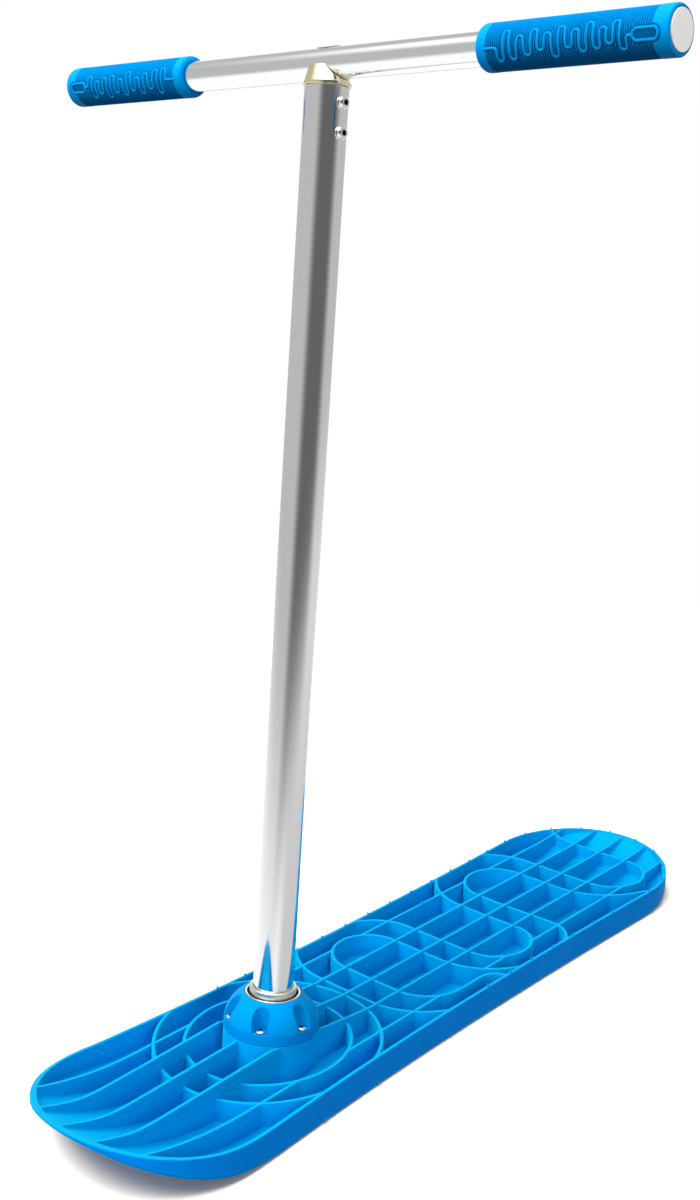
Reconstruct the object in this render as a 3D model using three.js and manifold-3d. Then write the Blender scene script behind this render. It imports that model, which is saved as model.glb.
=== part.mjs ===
import * as THREE from "three";
import { mergeVertices } from "three/addons/utils/BufferGeometryUtils.js";
import Module from "manifold-3d";

// A snow scooter: a moulded snow deck that carries a T handlebar in a hub, free to turn all the way round.
// Millimetres. +X points to the nose, +Y to the rider's left, +Z up, with the ground at z = 0 under mid deck.

// Deck, seen from above
const deckLength = 727;
const noseWidth = 184;
const waistWidth = 166;
const tailWidth = 175;
const noseRound = 96;
const tailRound = 87;
const waistFromNose = 378;
const sidecutHandleShares = { waist: 0.62, end: 0.12 };

// Deck, seen from the side
const rimHeight = 25;
const dishDepth = 2;
const rimWall = 3;
const floorWall = 4;
const soleEdgeRadius = 3;
const noseLift = 22;
const noseLiftLength = 123;
const noseLip = 3.6;
const noseKickLength = 134;
const tailLift = 3;
const tailLiftLength = 79;
const tailLip = 3.5;
const tailKickLength = 108;

// Ribs of the deck
const ribSpacing = 30;
const ribWall = 2.4;
const ribDraft = 0.35;
const longestRun = 18;
const ribDrop = { length: 0.2, cross: 0.45, ring: 0.7 };
const innerRingRadius = 66;
const outerRingRadius = 90;
const hubToTracks = 94.5;
const trackPitch = 94.7;
const trackWidth = 28.5;
const bendFromMiddle = 33;
const returnBendRadius = 37;
const returnFlareRadius = 16;
const flareTail = 30;

// Each cross rib starts and ends in a flare. It leaves the straight leg at a share of the half waist and turns,
// to the nose when the sign is +, on a radius that is a share of the track pitch. The last pair serves the rest.
const flareShares = [
  { start: { leave: 0.46, turn: -0.63 }, end: { leave: 0.29, turn: -0.72 } },
  { start: { leave: 0.46, turn: 0.48 }, end: { leave: 0.27, turn: -0.71 } },
  { start: { leave: 0.46, turn: 0.48 }, end: { leave: 0.4, turn: -0.63 } },
  { start: { leave: 0.61, turn: 0.35 }, end: { leave: 0.18, turn: -0.75 } },
  { start: { leave: 0.48, turn: 0.61 }, end: { leave: 0.4, turn: -0.63 } },
];

// Hub, measured along the post from the level of the rib tops
const hubFromNose = 208;
const postRake = THREE.MathUtils.degToRad(5.57);
const bossRadius = 37.5;
const bossTop = 10;
const bossBore = 27;
const bossFloor = 13.7;
const crestFront = 13.6;
const crestFrontLength = 118;
const crestFrontDrop = 4;
const crestBackLength = 48;
const coverHeight = 29;
const coverWallHeight = 8;
const coverDomeBulge = 3;
const mouthRadius = 22.3;
const mouthRingWall = 1.8;
const mouthRingHeight = 3;
const screwCount = 6;
const screwPhase = THREE.MathUtils.degToRad(30);
const screwCircle = 32.6;
const screwHeadRadius = 3.8;
const screwHeadHeight = 2.2;
const screwShankRadius = 1.9;
const slotRadius = 6;
const slotSeat = 19;
const screwReach = 8;
const insertWall = 0.9;
const insertLength = 8;

// Bearings and post
const thrustWall = 3;
const flangeWall = 5;
const flangeRadius = 26.4;
const footFloor = 3;
const sleeveWall = 2.4;
const sleeveProud = 5.6;
const bushWall = 2;
const bushFlange = 3;
const postRadius = 15.9;
const postWall = 2.4;
const postLength = 726.5;

// Stem cap, crossbar and grips
const capLip = 1.3;
const capLipHeight = 3;
const capConeHeight = 10.6;
const capConeTopRadius = 13.5;
const spigotLength = 45;
const boltShankRadius = 3;
const boltHeadRadius = 5.25;
const boltHeadHeight = 3.3;
const boltFirst = 11;
const boltSpacing = 20.5;
const boltReach = 12.6;
const socketWidth = 4;
const socketDepth = 1.8;
const barRadius = 11.1;
const barWall = 2;
const barWidth = 554;
const barAbovePost = 15.8;
const barBoltHeadRadius = 9.5;
const barBoltHeadHeight = 1.5;
const barBoltReach = 20;
const gripLength = 140;
const gripRadius = 15.9;
const gripRecess = 0.7;
const collarLength = 11;
const lipRound = 2;
const plugHeadHeight = 3.3;
const plugWall = 1.6;
const plugReach = 15;
const barbHeight = 0.25;
const barbPitch = 4;

// Raised line on each grip
const waveCount = 9;
const waveHeight = 21;
const beadWidth = 1.9;
const beadTop = 0.7;
const beadProud = 1;
const beadRun = 6;
const padLength = 20;
const padWidth = 9.5;

// Fits
const clearance = 0.3;
const runningGap = 0.3;
const overrun = 1;
const mergeTolerance = 1e-4;
const smoothTolerance = 0.02;
const roundSteps = 24;
const fineSteps = 32;
const smallSteps = 10;
const bendSteps = 10;
const flareSteps = 4;
const endSteps = 14;
const sideSteps = 8;
const domeSteps = 6;
const waveSteps = 3;

// Materials
const bluePlastic = new THREE.MeshStandardMaterial({ color: 0x0a86e6, roughness: 0.42, metalness: 0 });
const gripRubber = new THREE.MeshStandardMaterial({ color: 0x0f78cf, roughness: 0.6, metalness: 0 });
const aluminium = new THREE.MeshStandardMaterial({ color: 0xc9cccd, roughness: 0.22, metalness: 1 });
const goldCast = new THREE.MeshStandardMaterial({ color: 0xe2d49a, roughness: 0.3, metalness: 1 });
const steel = new THREE.MeshStandardMaterial({ color: 0xd8dadc, roughness: 0.25, metalness: 1 });
const brass = new THREE.MeshStandardMaterial({ color: 0xb8964a, roughness: 0.4, metalness: 1 });
const blackAcetal = new THREE.MeshStandardMaterial({ color: 0x1b1d1f, roughness: 0.5, metalness: 0 });
const whitePlastic = new THREE.MeshStandardMaterial({ color: 0xf2f2f0, roughness: 0.45, metalness: 0 });

const wasm = await Module();
wasm.setup();

// A closed three.js geometry as a solid that can be joined and cut.
function solidOf(geometry) {
  geometry.deleteAttribute("normal");
  geometry.deleteAttribute("uv");
  const merged = mergeVertices(geometry, mergeTolerance);
  const corners = merged.index.array;
  const triVerts = [];
  for (let i = 0; i < corners.length; i += 3) {
    const [a, b, c] = corners.slice(i, i + 3);
    if (a !== b && b !== c && c !== a) triVerts.push(a, b, c);
  }
  const vertProperties = merged.attributes.position.array;
  return new wasm.Manifold(new wasm.Mesh({ numProp: 3, vertProperties, triVerts: new Uint32Array(triVerts) }));
}

// A named mesh made from a solid, without the slivers that joining and cutting leave.
function meshOf(name, body, material) {
  const { vertProperties, triVerts } = body.asOriginal().simplify(smoothTolerance).getMesh();
  const geometry = new THREE.BufferGeometry();
  geometry.setAttribute("position", new THREE.BufferAttribute(vertProperties, 3));
  geometry.setIndex(new THREE.BufferAttribute(triVerts, 1));
  geometry.computeVertexNormals();
  const mesh = new THREE.Mesh(geometry, material);
  mesh.name = name;
  return mesh;
}

// A turned body round Z. Its profile is a list of [radius, height], outside going up, inside coming down.
function turned(profile, steps = roundSteps) {
  const points = [...profile, profile[0]].map(([radius, height]) => new THREE.Vector2(radius, height));
  return solidOf(new THREE.LatheGeometry(points, steps).rotateX(Math.PI / 2));
}

// A plain round pin from one height to another, along Z.
function pin(radius, bottom, top, steps = smallSteps) {
  return turned([[0, bottom], [radius, bottom], [radius, top], [0, top]], steps);
}

// A plain ring from one height to another, along Z.
function ring(outer, inner, bottom, top, steps = roundSteps) {
  return turned([[inner, bottom], [outer, bottom], [outer, top], [inner, top]], steps);
}

// A hexagonal recess that opens upwards at a height.
function hexRecess(width, depth, top) {
  const across = width / Math.sqrt(3);
  const prism = new THREE.CylinderGeometry(across, across, depth + overrun, 6).rotateX(Math.PI / 2);
  return solidOf(prism.translate(0, 0, top - depth + (depth + overrun) / 2));
}

// The rise of a circular arc that gains a height over a length.
function arcRise(distance, length, height) {
  if (distance <= 0) return 0;
  const radius = (length ** 2 + height ** 2) / (2 * height);
  return radius - Math.sqrt(radius ** 2 - Math.min(distance, radius) ** 2);
}

// Deck stations from tail to nose
const noseX = deckLength / 2;
const tailX = -deckLength / 2;
const hubX = noseX - hubFromNose;
const hubHeight = rimHeight - dishDepth;
const waistX = noseX - waistFromNose;
const noseCentre = noseX - noseRound;
const tailCentre = tailX + tailRound;

// One half of the outline, as points from the tail tip to the nose tip.
function halfOutline() {
  const end = (centre, reach, width, from, to) =>
    Array.from({ length: endSteps + 1 }, (_, i) => {
      const angle = from + ((to - from) * i) / endSteps;
      return new THREE.Vector2(centre + reach * Math.sin(angle), (width / 2) * Math.cos(angle));
    });
  const side = (centre, width) => {
    const reach = centre - waistX;
    const { waist, end: handle } = sidecutHandleShares;
    const points = [
      new THREE.Vector2(waistX, waistWidth / 2),
      new THREE.Vector2(waistX + reach * waist, waistWidth / 2),
      new THREE.Vector2(centre - reach * handle, width / 2),
      new THREE.Vector2(centre, width / 2),
    ];
    return new THREE.CubicBezierCurve(...points).getPoints(sideSteps);
  };
  return [
    ...end(tailCentre, tailRound, tailWidth, -Math.PI / 2, 0),
    ...side(tailCentre, tailWidth).reverse().slice(1),
    ...side(noseCentre, noseWidth).slice(1),
    ...end(noseCentre, noseRound, noseWidth, 0, Math.PI / 2).slice(1),
  ];
}
const outline = halfOutline();

// Half the width of the deck at a station.
function halfWidthAt(x) {
  const next = outline.findIndex((point) => point.x >= x);
  if (next <= 0) return 0;
  const [a, b] = [outline[next - 1], outline[next]];
  return THREE.MathUtils.mapLinear(x, a.x, b.x, a.y, b.y);
}

// Heights of the rim, the sole, the pocket floor and the ribs.
function rimAt(x) {
  const nose = arcRise(x - noseX + noseLiftLength, noseLiftLength, noseLift);
  return rimHeight + nose + arcRise(tailX + tailLiftLength - x, tailLiftLength, tailLift);
}

function soleAt(x) {
  const nose = arcRise(x - noseX + noseKickLength, noseKickLength, rimHeight + noseLift - noseLip);
  return nose + arcRise(tailX + tailKickLength - x, tailKickLength, rimHeight + tailLift - tailLip);
}

function floorAt(x) {
  return soleAt(x) + floorWall;
}

function ribTopAt(x, y) {
  const half = halfWidthAt(x);
  return rimAt(x) - (dishDepth * Math.max(0, half ** 2 - y ** 2)) / (waistWidth / 2) ** 2;
}

// The higher crest that the three middle ribs have near the hub.
function crestAt(x) {
  const ahead = x - hubX;
  if (ahead > 0) return hubHeight + crestFront - (crestFrontDrop * ahead) / crestFrontLength;
  const start = bossTop - bossRadius * Math.sin(postRake);
  return hubHeight + start * Math.max(0, 1 + (ahead + bossRadius) / crestBackLength);
}

// A body with the outline of the deck, drawn in by each level's inset, between curved bottom and top faces.
function deckBody(levels) {
  const positions = [];
  const index = [];
  const count = outline.length;
  for (const { inset, heightAt } of levels) {
    for (const side of [-1, 1]) {
      outline.forEach((point, i) => {
        const before = i ? outline[i - 1] : new THREE.Vector2(outline[1].x, -outline[1].y);
        const last = outline[count - 2];
        const after = i < count - 1 ? outline[i + 1] : new THREE.Vector2(last.x, -last.y);
        const along = new THREE.Vector2().subVectors(after, before).normalize();
        const x = point.x + along.y * inset;
        const y = i === 0 || i === count - 1 ? 0 : Math.max(0, point.y - along.x * inset);
        positions.push(x, side * y, heightAt(x));
      });
    }
  }
  const quad = (a, b, c, d) => index.push(a, b, c, a, c, d);
  const at = (level, side, i) => (level * 2 + side) * count + i;
  for (let i = 0; i < count - 1; i++) {
    quad(at(0, 1, i), at(0, 1, i + 1), at(0, 0, i + 1), at(0, 0, i));
    const top = levels.length - 1;
    quad(at(top, 0, i), at(top, 0, i + 1), at(top, 1, i + 1), at(top, 1, i));
    for (let level = 0; level < top; level++) {
      quad(at(level, 0, i), at(level, 0, i + 1), at(level + 1, 0, i + 1), at(level + 1, 0, i));
      quad(at(level, 1, i + 1), at(level, 1, i), at(level + 1, 1, i), at(level + 1, 1, i + 1));
    }
  }
  const geometry = new THREE.BufferGeometry();
  geometry.setAttribute("position", new THREE.Float32BufferAttribute(positions, 3));
  geometry.setIndex(index);
  return solidOf(geometry);
}

// A ridge that follows stations of four corners each: left low, left high, right high, right low.
function ridge(stations, closed = false) {
  const index = [];
  const count = stations.length;
  const quad = (a, b, c, d) => index.push(a, b, c, a, c, d);
  for (let i = 0; i < (closed ? count : count - 1); i++) {
    const next = ((i + 1) % count) * 4;
    for (let k = 0; k < 4; k++) {
      const k2 = (k + 1) % 4;
      quad(i * 4 + k, i * 4 + k2, next + k2, next + k);
    }
  }
  if (!closed) {
    quad(3, 2, 1, 0);
    const end = (count - 1) * 4;
    quad(end, end + 1, end + 2, end + 3);
  }
  const geometry = new THREE.BufferGeometry();
  geometry.setFromPoints(stations.flat());
  geometry.setIndex(index);
  return solidOf(geometry);
}

// Adds points to a line of points so that no run is longer than a length, and gives each the way to its left.
function stationsOn(points, longest, closed = false) {
  const ends = closed ? [...points, points[0]] : points;
  const dense = ends.slice(1).flatMap((point, i) => {
    const steps = Math.ceil(ends[i].distanceTo(point) / longest);
    return Array.from({ length: steps }, (_, k) => ends[i].clone().lerp(point, k / steps));
  });
  if (!closed) dense.push(points.at(-1));
  const count = dense.length;
  return dense.map((point, i) => {
    const before = dense[closed ? (i + count - 1) % count : Math.max(0, i - 1)];
    const after = dense[closed ? (i + 1) % count : Math.min(count - 1, i + 1)];
    const along = new THREE.Vector2().subVectors(after, before).normalize();
    return { point, left: new THREE.Vector2(-along.y, along.x) };
  });
}

// Points on an arc, both ends included.
function arcPoints(x, y, radius, from, to, steps) {
  return Array.from({ length: steps + 1 }, (_, i) => {
    const angle = from + ((to - from) * i) / steps;
    return new THREE.Vector2(x + radius * Math.cos(angle), y + radius * Math.sin(angle));
  });
}

// An upright rib on the deck along a line of points, a little thicker at its foot.
function ribOn(points, drop, { topAt = ribTopAt, closed = false, longest = longestRun } = {}) {
  const stations = stationsOn(points, longest, closed).map(({ point, left }) => {
    const top = topAt(point.x, point.y) - drop;
    const foot = soleAt(point.x) + floorWall / 4;
    const corner = (offset, height) =>
      new THREE.Vector3(point.x + left.x * offset, point.y + left.y * offset, height);
    const head = ribWall / 2;
    return [corner(head + ribDraft, foot), corner(head, top), corner(-head, top), corner(-head - ribDraft, foot)];
  });
  return ridge(stations, closed);
}

// The points of a straight rib along the deck, close together where the deck curves up.
function lengthLine(y, from, to, stops = []) {
  const [tailBend, noseBend] = [tailX + tailKickLength, noseX - noseKickLength];
  const between = [tailBend, waistX, noseBend, ...stops].filter((x) => x > from && x < to);
  const ends = [from, ...between.sort((a, b) => a - b), to];
  const xs = ends.slice(1).flatMap((end, i) => {
    const start = ends[i];
    const curved = end > noseBend || end <= tailBend;
    const steps = curved ? Math.ceil((end - start) / longestRun) : 1;
    return Array.from({ length: steps }, (_, k) => start + ((end - start) * k) / steps);
  });
  return [...xs, to].map((x) => new THREE.Vector2(x, y));
}

// The runs of a length that are left between gaps, given from tail to nose as a centre and a half length.
function runsBetween(start, end, gaps) {
  const edges = [start, ...gaps.flatMap(({ centre, half }) => [centre - half, centre + half]), end];
  return edges.flatMap((edge, i) => (i % 2 ? [] : [[edge, edges[i + 1]]]));
}

// Cross ribs: legs over the deck, joined in pairs by half circles, whose free ends flare out to the rims.
const bendRadius = (trackPitch - trackWidth) / 2;
const legX = (pair, second = false) => hubX - hubToTracks - pair * trackPitch - (second ? trackWidth : 0);
const bendX = (pair) => legX(pair, true) - bendRadius;

// The points of a flare, from its leg outwards. Side is 1 on the rider's left and -1 on the right.
function flarePoints(x, side, { leave, turn }) {
  const radius = Math.abs(turn) * trackPitch;
  const from = (leave * waistWidth) / 2;
  const sweep = Math.PI / 3;
  const arc = arcPoints(-radius, 0, radius, 0, sweep, flareSteps);
  arc.push(arc.at(-1).clone().addScaledVector(new THREE.Vector2(-Math.sin(sweep), Math.cos(sweep)), flareTail));
  return arc.map((point) => new THREE.Vector2(x - Math.sign(turn) * point.x, side * (from + point.y)));
}

// The points of a half circle that joins two legs, going towards the tail.
function bendPoints(pair, side) {
  return arcPoints(bendX(pair), side * bendFromMiddle, bendRadius, 0, side * Math.PI, bendSteps);
}

// The end of the first loop, which turns back along the near rim before it meets it.
function returnPoints() {
  const start = bendFromMiddle + bendRadius - returnBendRadius;
  const line = start + returnBendRadius;
  const turnX = legX(0, true) - returnBendRadius;
  const flareX = legX(1) + returnFlareRadius / 8;
  const flareY = line + returnFlareRadius;
  const bend = arcPoints(turnX, start, returnBendRadius, 0, Math.PI / 2, bendSteps / 2);
  const flare = arcPoints(flareX, flareY, returnFlareRadius, -Math.PI / 2, -Math.PI, flareSteps);
  return [...bend, ...flare, new THREE.Vector2(flareX - returnFlareRadius, flareY + rimWall)];
}

// The first rib crosses straight over. Each of the others comes in on one side, turns at the far end of a pair of
// legs and goes out on the side that it came from. There are as many as the deck has room for.
const loops = Math.floor((hubX - hubToTracks - trackWidth - tailX) / trackPitch);
function crossLines() {
  const lines = Array.from({ length: loops + 1 }, (_, k) => {
    const side = k % 2 ? 1 : -1;
    const { start, end } = flareShares[Math.min(k, flareShares.length - 1)];
    if (k === 0) return [...flarePoints(legX(0), side, start).reverse(), ...flarePoints(legX(0), -side, end)];
    const come = k === 1 ? returnPoints() : flarePoints(legX(k - 1, true), side, start);
    return [...come.reverse(), ...bendPoints(k - 1, -side), ...flarePoints(legX(k), side, end)];
  });
  return lines;
}

// The ring ribs round the foot of the boss.
const ringX = hubX + hubHeight * Math.tan(postRake);
function ringLine(radius) {
  return arcPoints(ringX, 0, radius, 0, 2 * Math.PI, fineSteps).slice(1);
}

// The five ribs along the deck. The outer two stop at the loops and at the inner ring.
function lengthRibs() {
  const whole = { longest: deckLength };
  const back = hubX - bossRadius - crestBackLength;
  const topAt = (x, y) => Math.max(crestAt(x), ribTopAt(x, y));
  const middle = [-1, 0, 1].map((k) => {
    const points = lengthLine(k * ribSpacing, tailX, noseX, [back, hubX - bossRadius, hubX]);
    return ribOn(points, ribDrop.length, { ...whole, topAt });
  });
  const line = 2 * ribSpacing;
  const chord = (radius, offset) => Math.sqrt(Math.max(0, radius ** 2 - offset ** 2));
  const bendChord = chord(bendRadius, line - bendFromMiddle);
  const ringGap = { centre: ringX, half: chord(innerRingRadius, line) };
  const returnGapStart = legX(0, true) - returnBendRadius / 2;
  const returnGapEnd = legX(1) - returnFlareRadius * 0.75;
  const returnGap = { centre: (returnGapStart + returnGapEnd) / 2, half: (returnGapStart - returnGapEnd) / 2 };
  const bends = Array.from({ length: loops }, (_, pair) => ({ centre: bendX(pair), half: bendChord })).reverse();
  const far = runsBetween(tailX, noseX, [...bends.filter((_, i) => (loops - i) % 2), ringGap]);
  const near = runsBetween(tailX, noseX, [...bends.filter((_, i) => (loops - i) % 2 === 0), returnGap, ringGap]);
  const run = (y) => ([from, to]) => ribOn(lengthLine(y, from, to), ribDrop.length, whole);
  return [...middle, ...far.map(run(-line)), ...near.map(run(line))];
}

// Places a body that is drawn in the hub's own frame, where Z runs up the post.
function atHub(body) {
  const angle = THREE.MathUtils.radToDeg(-postRake);
  return body.rotate([0, angle, 0]).translate([hubX, 0, hubHeight]);
}

// The places of the cover screws round the post.
const screwPlaces = Array.from({ length: screwCount }, (_, i) => {
  const angle = screwPhase + (2 * Math.PI * i) / screwCount;
  return [screwCircle * Math.cos(angle), screwCircle * Math.sin(angle)];
});
function atScrews(body) {
  return screwPlaces.map(([x, y]) => body.translate([x, y, 0]));
}
const insertRadius = screwShankRadius + clearance + insertWall;

function deck() {
  const levels = [0, 1, 2].map((i) => {
    const angle = (Math.PI / 2) * (i / 2);
    const inset = soleEdgeRadius * (1 - Math.sin(angle));
    const share = 1 - Math.cos(angle);
    return { inset, heightAt: (x) => soleAt(x) + share * Math.min(soleEdgeRadius, (rimAt(x) - soleAt(x)) / 2) };
  });
  const shell = deckBody([...levels, { inset: 0, heightAt: rimAt }]);
  const pocket = deckBody([
    { inset: rimWall, heightAt: floorAt },
    { inset: rimWall, heightAt: (x) => Math.max(rimAt(x), floorAt(x)) + overrun },
  ]);
  const within = deckBody([
    { inset: rimWall / 4, heightAt: soleAt },
    { inset: rimWall / 4, heightAt: (x) => soleAt(x) + 3 * rimHeight },
  ]);
  const radii = [innerRingRadius, outerRingRadius];
  const rings = radii.map((radius) => ribOn(ringLine(radius), ribDrop.ring, { closed: true }));
  const cross = crossLines().map((points) => ribOn(points, ribDrop.cross));
  const ribs = wasm.Manifold.union([...lengthRibs(), ...rings, ...cross]).intersect(within);
  const boss = atHub(pin(bossRadius, -hubHeight, bossTop + overrun, fineSteps)).intersect(within);
  const bore = pin(bossBore, -bossFloor, bossTop + crestFront, fineSteps);
  const rimOfCover = ring(bossRadius + ribWall, 0, bossTop, bossTop + crestFront, fineSteps);
  const insertHoles = atScrews(pin(insertRadius + clearance, bossTop - insertLength - clearance, bossTop + overrun));
  const tipHoles = atScrews(pin(screwShankRadius + clearance, bossTop - insertLength - screwReach, bossTop));
  const cuts = [bore, rimOfCover, ...insertHoles, ...tipHoles].map(atHub);
  const blank = wasm.Manifold.union([shell.subtract(pocket), ribs, boss]);
  return blank.subtract(wasm.Manifold.union(cuts));
}

// Levels along the post, above the rib tops
const thrustBottom = -bossFloor + runningGap;
const flangeBottom = thrustBottom + thrustWall + runningGap;
const flangeTop = flangeBottom + flangeWall;
const sleeveRadius = postRadius + clearance + sleeveWall;
const bushBottom = flangeTop + runningGap;
const coverBottom = bossTop + clearance;
const coverTop = bossTop + coverHeight;
const mouthFloor = coverTop - mouthRingHeight - clearance;
const bushTop = mouthFloor - clearance;
const bushRadius = sleeveRadius + runningGap + bushWall;
const sleeveTop = coverTop + sleeveProud;
const postBottom = flangeBottom + footFloor + clearance;
const postTop = postBottom + postLength;

// The dome over the hub, with a slot cut down to each screw.
function hubCover() {
  const shoulder = new THREE.Vector2(bossRadius, coverBottom + coverWallHeight);
  const lip = new THREE.Vector2(mouthRadius + clearance, coverTop);
  const chord = new THREE.Vector2().subVectors(lip, shoulder);
  const out = new THREE.Vector2(chord.y, -chord.x).normalize();
  const dome = Array.from({ length: domeSteps + 1 }, (_, i) => {
    const t = i / domeSteps;
    const bulge = 4 * coverDomeBulge * t * (1 - t);
    const point = shoulder.clone().addScaledVector(chord, t).addScaledVector(out, bulge);
    return [point.x, point.y];
  });
  const spigot = bossBore - clearance;
  const bore = bushRadius + clearance;
  const foot = bushBottom + bushFlange + clearance;
  const shell = turned([
    [bore, foot], [spigot, foot], [spigot, coverBottom], [bossRadius, coverBottom],
    ...dome, [mouthRadius, coverTop], [mouthRadius, mouthFloor], [bore, mouthFloor],
  ], fineSteps);
  const slots = atScrews(pin(slotRadius, slotSeat, coverTop + overrun));
  const holes = atScrews(pin(screwShankRadius + clearance, coverBottom - overrun, slotSeat + overrun));
  return shell.subtract(wasm.Manifold.union([...slots, ...holes]));
}

function mouthRing() {
  const outer = mouthRadius - clearance;
  const inner = outer - mouthRingWall;
  return ring(outer, inner, coverTop - mouthRingHeight, coverTop + clearance, fineSteps);
}

function coverScrew() {
  const seat = slotSeat + clearance;
  const tip = bossTop - screwReach;
  const top = seat + screwHeadHeight;
  return turned([
    [0, tip], [screwShankRadius, tip], [screwShankRadius, seat], [screwHeadRadius, seat],
    [screwHeadRadius, top - screwHeadHeight / 2], [screwHeadRadius * 0.6, top], [0, top],
  ], smallSteps);
}

function coverInsert() {
  return ring(insertRadius, screwShankRadius + clearance, bossTop - insertLength, bossTop, smallSteps);
}

function thrustBush() {
  return ring(bossBore - clearance, postRadius / 2, thrustBottom, thrustBottom + thrustWall);
}

// The steel foot that the post stands in. Its flange turns between the thrust bush and the collar bush.
function postFoot() {
  const bore = postRadius + clearance;
  const edge = sleeveWall / 4;
  const seat = flangeBottom + footFloor;
  return turned([
    [0, flangeBottom], [flangeRadius, flangeBottom], [flangeRadius, flangeTop], [sleeveRadius, flangeTop],
    [sleeveRadius, sleeveTop - edge], [sleeveRadius - edge, sleeveTop], [bore, sleeveTop], [bore, seat], [0, seat],
  ], fineSteps);
}

function collarBush() {
  const inner = sleeveRadius + runningGap;
  const flange = bossBore - clearance;
  return turned([
    [inner, bushBottom], [flange, bushBottom], [flange, bushBottom + bushFlange],
    [bushRadius, bushBottom + bushFlange], [bushRadius, bushTop], [inner, bushTop],
  ], fineSteps);
}

// Turns a pin that is drawn along Z to point along +Y from the post's axis.
function sideways(body, height) {
  return body.rotate([-90, 0, 0]).translate([0, 0, height]);
}
const boltHeights = [boltFirst, boltFirst + boltSpacing].map((depth) => postTop - depth);

function postTube() {
  const tube = ring(postRadius, postRadius - postWall, postBottom, postTop, fineSteps);
  const hole = pin(boltShankRadius + clearance, 0, postRadius + overrun);
  return tube.subtract(wasm.Manifold.union(boltHeights.map((height) => sideways(hole, height))));
}

// The cast cap on the post: a spigot inside it, a lip on its end and a cone coped to the crossbar.
const barHeight = postTop + barAbovePost;
function stemCap() {
  const spigot = postRadius - postWall - clearance;
  const lip = postRadius + capLip;
  const lipBottom = postTop + clearance;
  const lipTop = lipBottom + capLipHeight;
  const coneTop = lipTop + capConeHeight;
  const blank = turned([
    [0, lipBottom - spigotLength], [spigot, lipBottom - spigotLength], [spigot, lipBottom], [lip, lipBottom],
    [lip, lipTop - capLip / 2], [lip - capLip / 2, lipTop], [capConeTopRadius, coneTop], [0, coneTop],
  ], fineSteps);
  const cope = pin(barRadius + clearance, -2 * postRadius, 2 * postRadius, fineSteps);
  const boltHole = pin(boltShankRadius + clearance, postRadius - boltReach - clearance, postRadius);
  const barHole = pin(boltShankRadius + clearance, barHeight - barBoltReach - clearance, barHeight);
  const boltHoles = boltHeights.map((height) => sideways(boltHole, height));
  return blank.subtract(wasm.Manifold.union([sideways(cope, barHeight), ...boltHoles, barHole]));
}

// A button head screw with a hexagonal socket, its head resting at a level and its shank below it.
function buttonBolt(level, reach, headRadius, headHeight) {
  const top = level + headHeight;
  return turned([
    [0, level - reach], [boltShankRadius, level - reach], [boltShankRadius, level], [headRadius, level],
    [headRadius, level + headHeight * 0.3], [headRadius * 0.85, top - headHeight * 0.2],
    [headRadius * 0.6, top], [0, top],
  ], roundSteps).subtract(hexRecess(socketWidth, Math.min(socketDepth, headHeight * 0.8), top));
}

// Pieces across the bar are drawn along Z from the rider's right to the left, then turned to lie along Y.
function crossbar() {
  const half = barWidth / 2;
  const tube = ring(barRadius, barRadius - barWall, -half, half, fineSteps);
  const hole = pin(boltShankRadius + clearance, -2 * barRadius, 2 * barRadius).rotate([90, 0, 0]);
  return tube.subtract(hole);
}

// The wave on the grip, unrolled: X runs along the grip and Y round it. It ends at the oval pad.
const padStart = gripLength - collarLength - padLength - beadWidth;
const wavePitch = (padStart - collarLength) / (waveCount + 0.75);
function waveLine() {
  const radius = wavePitch / 4;
  const leg = waveHeight / 2 - radius;
  const start = collarLength + radius;
  const bends = Array.from({ length: 2 * waveCount }, (_, i) => {
    const side = i % 2 ? -1 : 1;
    const to = side > 0 ? 0 : 2 * Math.PI;
    return arcPoints(start + (2 * i + 1) * radius, side * leg, radius, Math.PI, to, waveSteps);
  });
  const end = start + 4 * radius * waveCount;
  const straight = [collarLength - gripRecess, start, end, padStart].map((x) => new THREE.Vector2(x, 0));
  return [...straight.slice(0, 2), ...bends.flat(), ...straight.slice(2)];
}

// The oval that the wave leads to.
function padLine() {
  const radius = padWidth / 2;
  const end = padStart + padLength - beadWidth / 2;
  const outer = arcPoints(end - radius, 0, radius, -Math.PI / 2, Math.PI / 2, bendSteps / 2);
  const inner = arcPoints(padStart + radius, 0, radius, Math.PI / 2, 1.5 * Math.PI, bendSteps / 2);
  return [...outer, ...inner];
}

// Wraps a raised bead along a line of points round the grip, facing the front.
function beadOn(points, closed) {
  const barrel = gripRadius - gripRecess;
  const stations = stationsOn(points, beadRun, closed).map(({ point, left }) => {
    const corner = (offset, radius) => {
      const round = (point.y + left.y * offset) / barrel;
      const along = point.x + left.x * offset;
      return new THREE.Vector3(radius * Math.cos(round), radius * Math.sin(round), along);
    };
    const half = beadWidth / 2;
    const low = barrel - beadProud;
    const high = barrel + beadProud;
    return [corner(-half, low), corner(-beadTop, high), corner(beadTop, high), corner(half, low)];
  });
  return ridge(stations, closed);
}

// A grip, drawn from its inner end at 0 to its outer end.
function grip() {
  const bore = barRadius + clearance;
  const barrel = gripRadius - gripRecess;
  const mouth = postRadius - rimWall;
  const recess = gripLength - plugHeadHeight - 2 * clearance;
  const body = turned([
    [bore, 0], [gripRadius - lipRound, 0], [gripRadius, lipRound],
    [gripRadius, collarLength - gripRecess], [barrel, collarLength],
    [barrel, gripLength - collarLength], [gripRadius, gripLength - collarLength + gripRecess],
    [gripRadius, gripLength - lipRound], [gripRadius - lipRound * 0.3, gripLength - lipRound * 0.3],
    [gripRadius - lipRound, gripLength], [mouth, gripLength], [mouth, recess], [bore, recess],
  ], roundSteps);
  return wasm.Manifold.union([body, beadOn(waveLine(), false), beadOn(padLine(), true)]);
}

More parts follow.
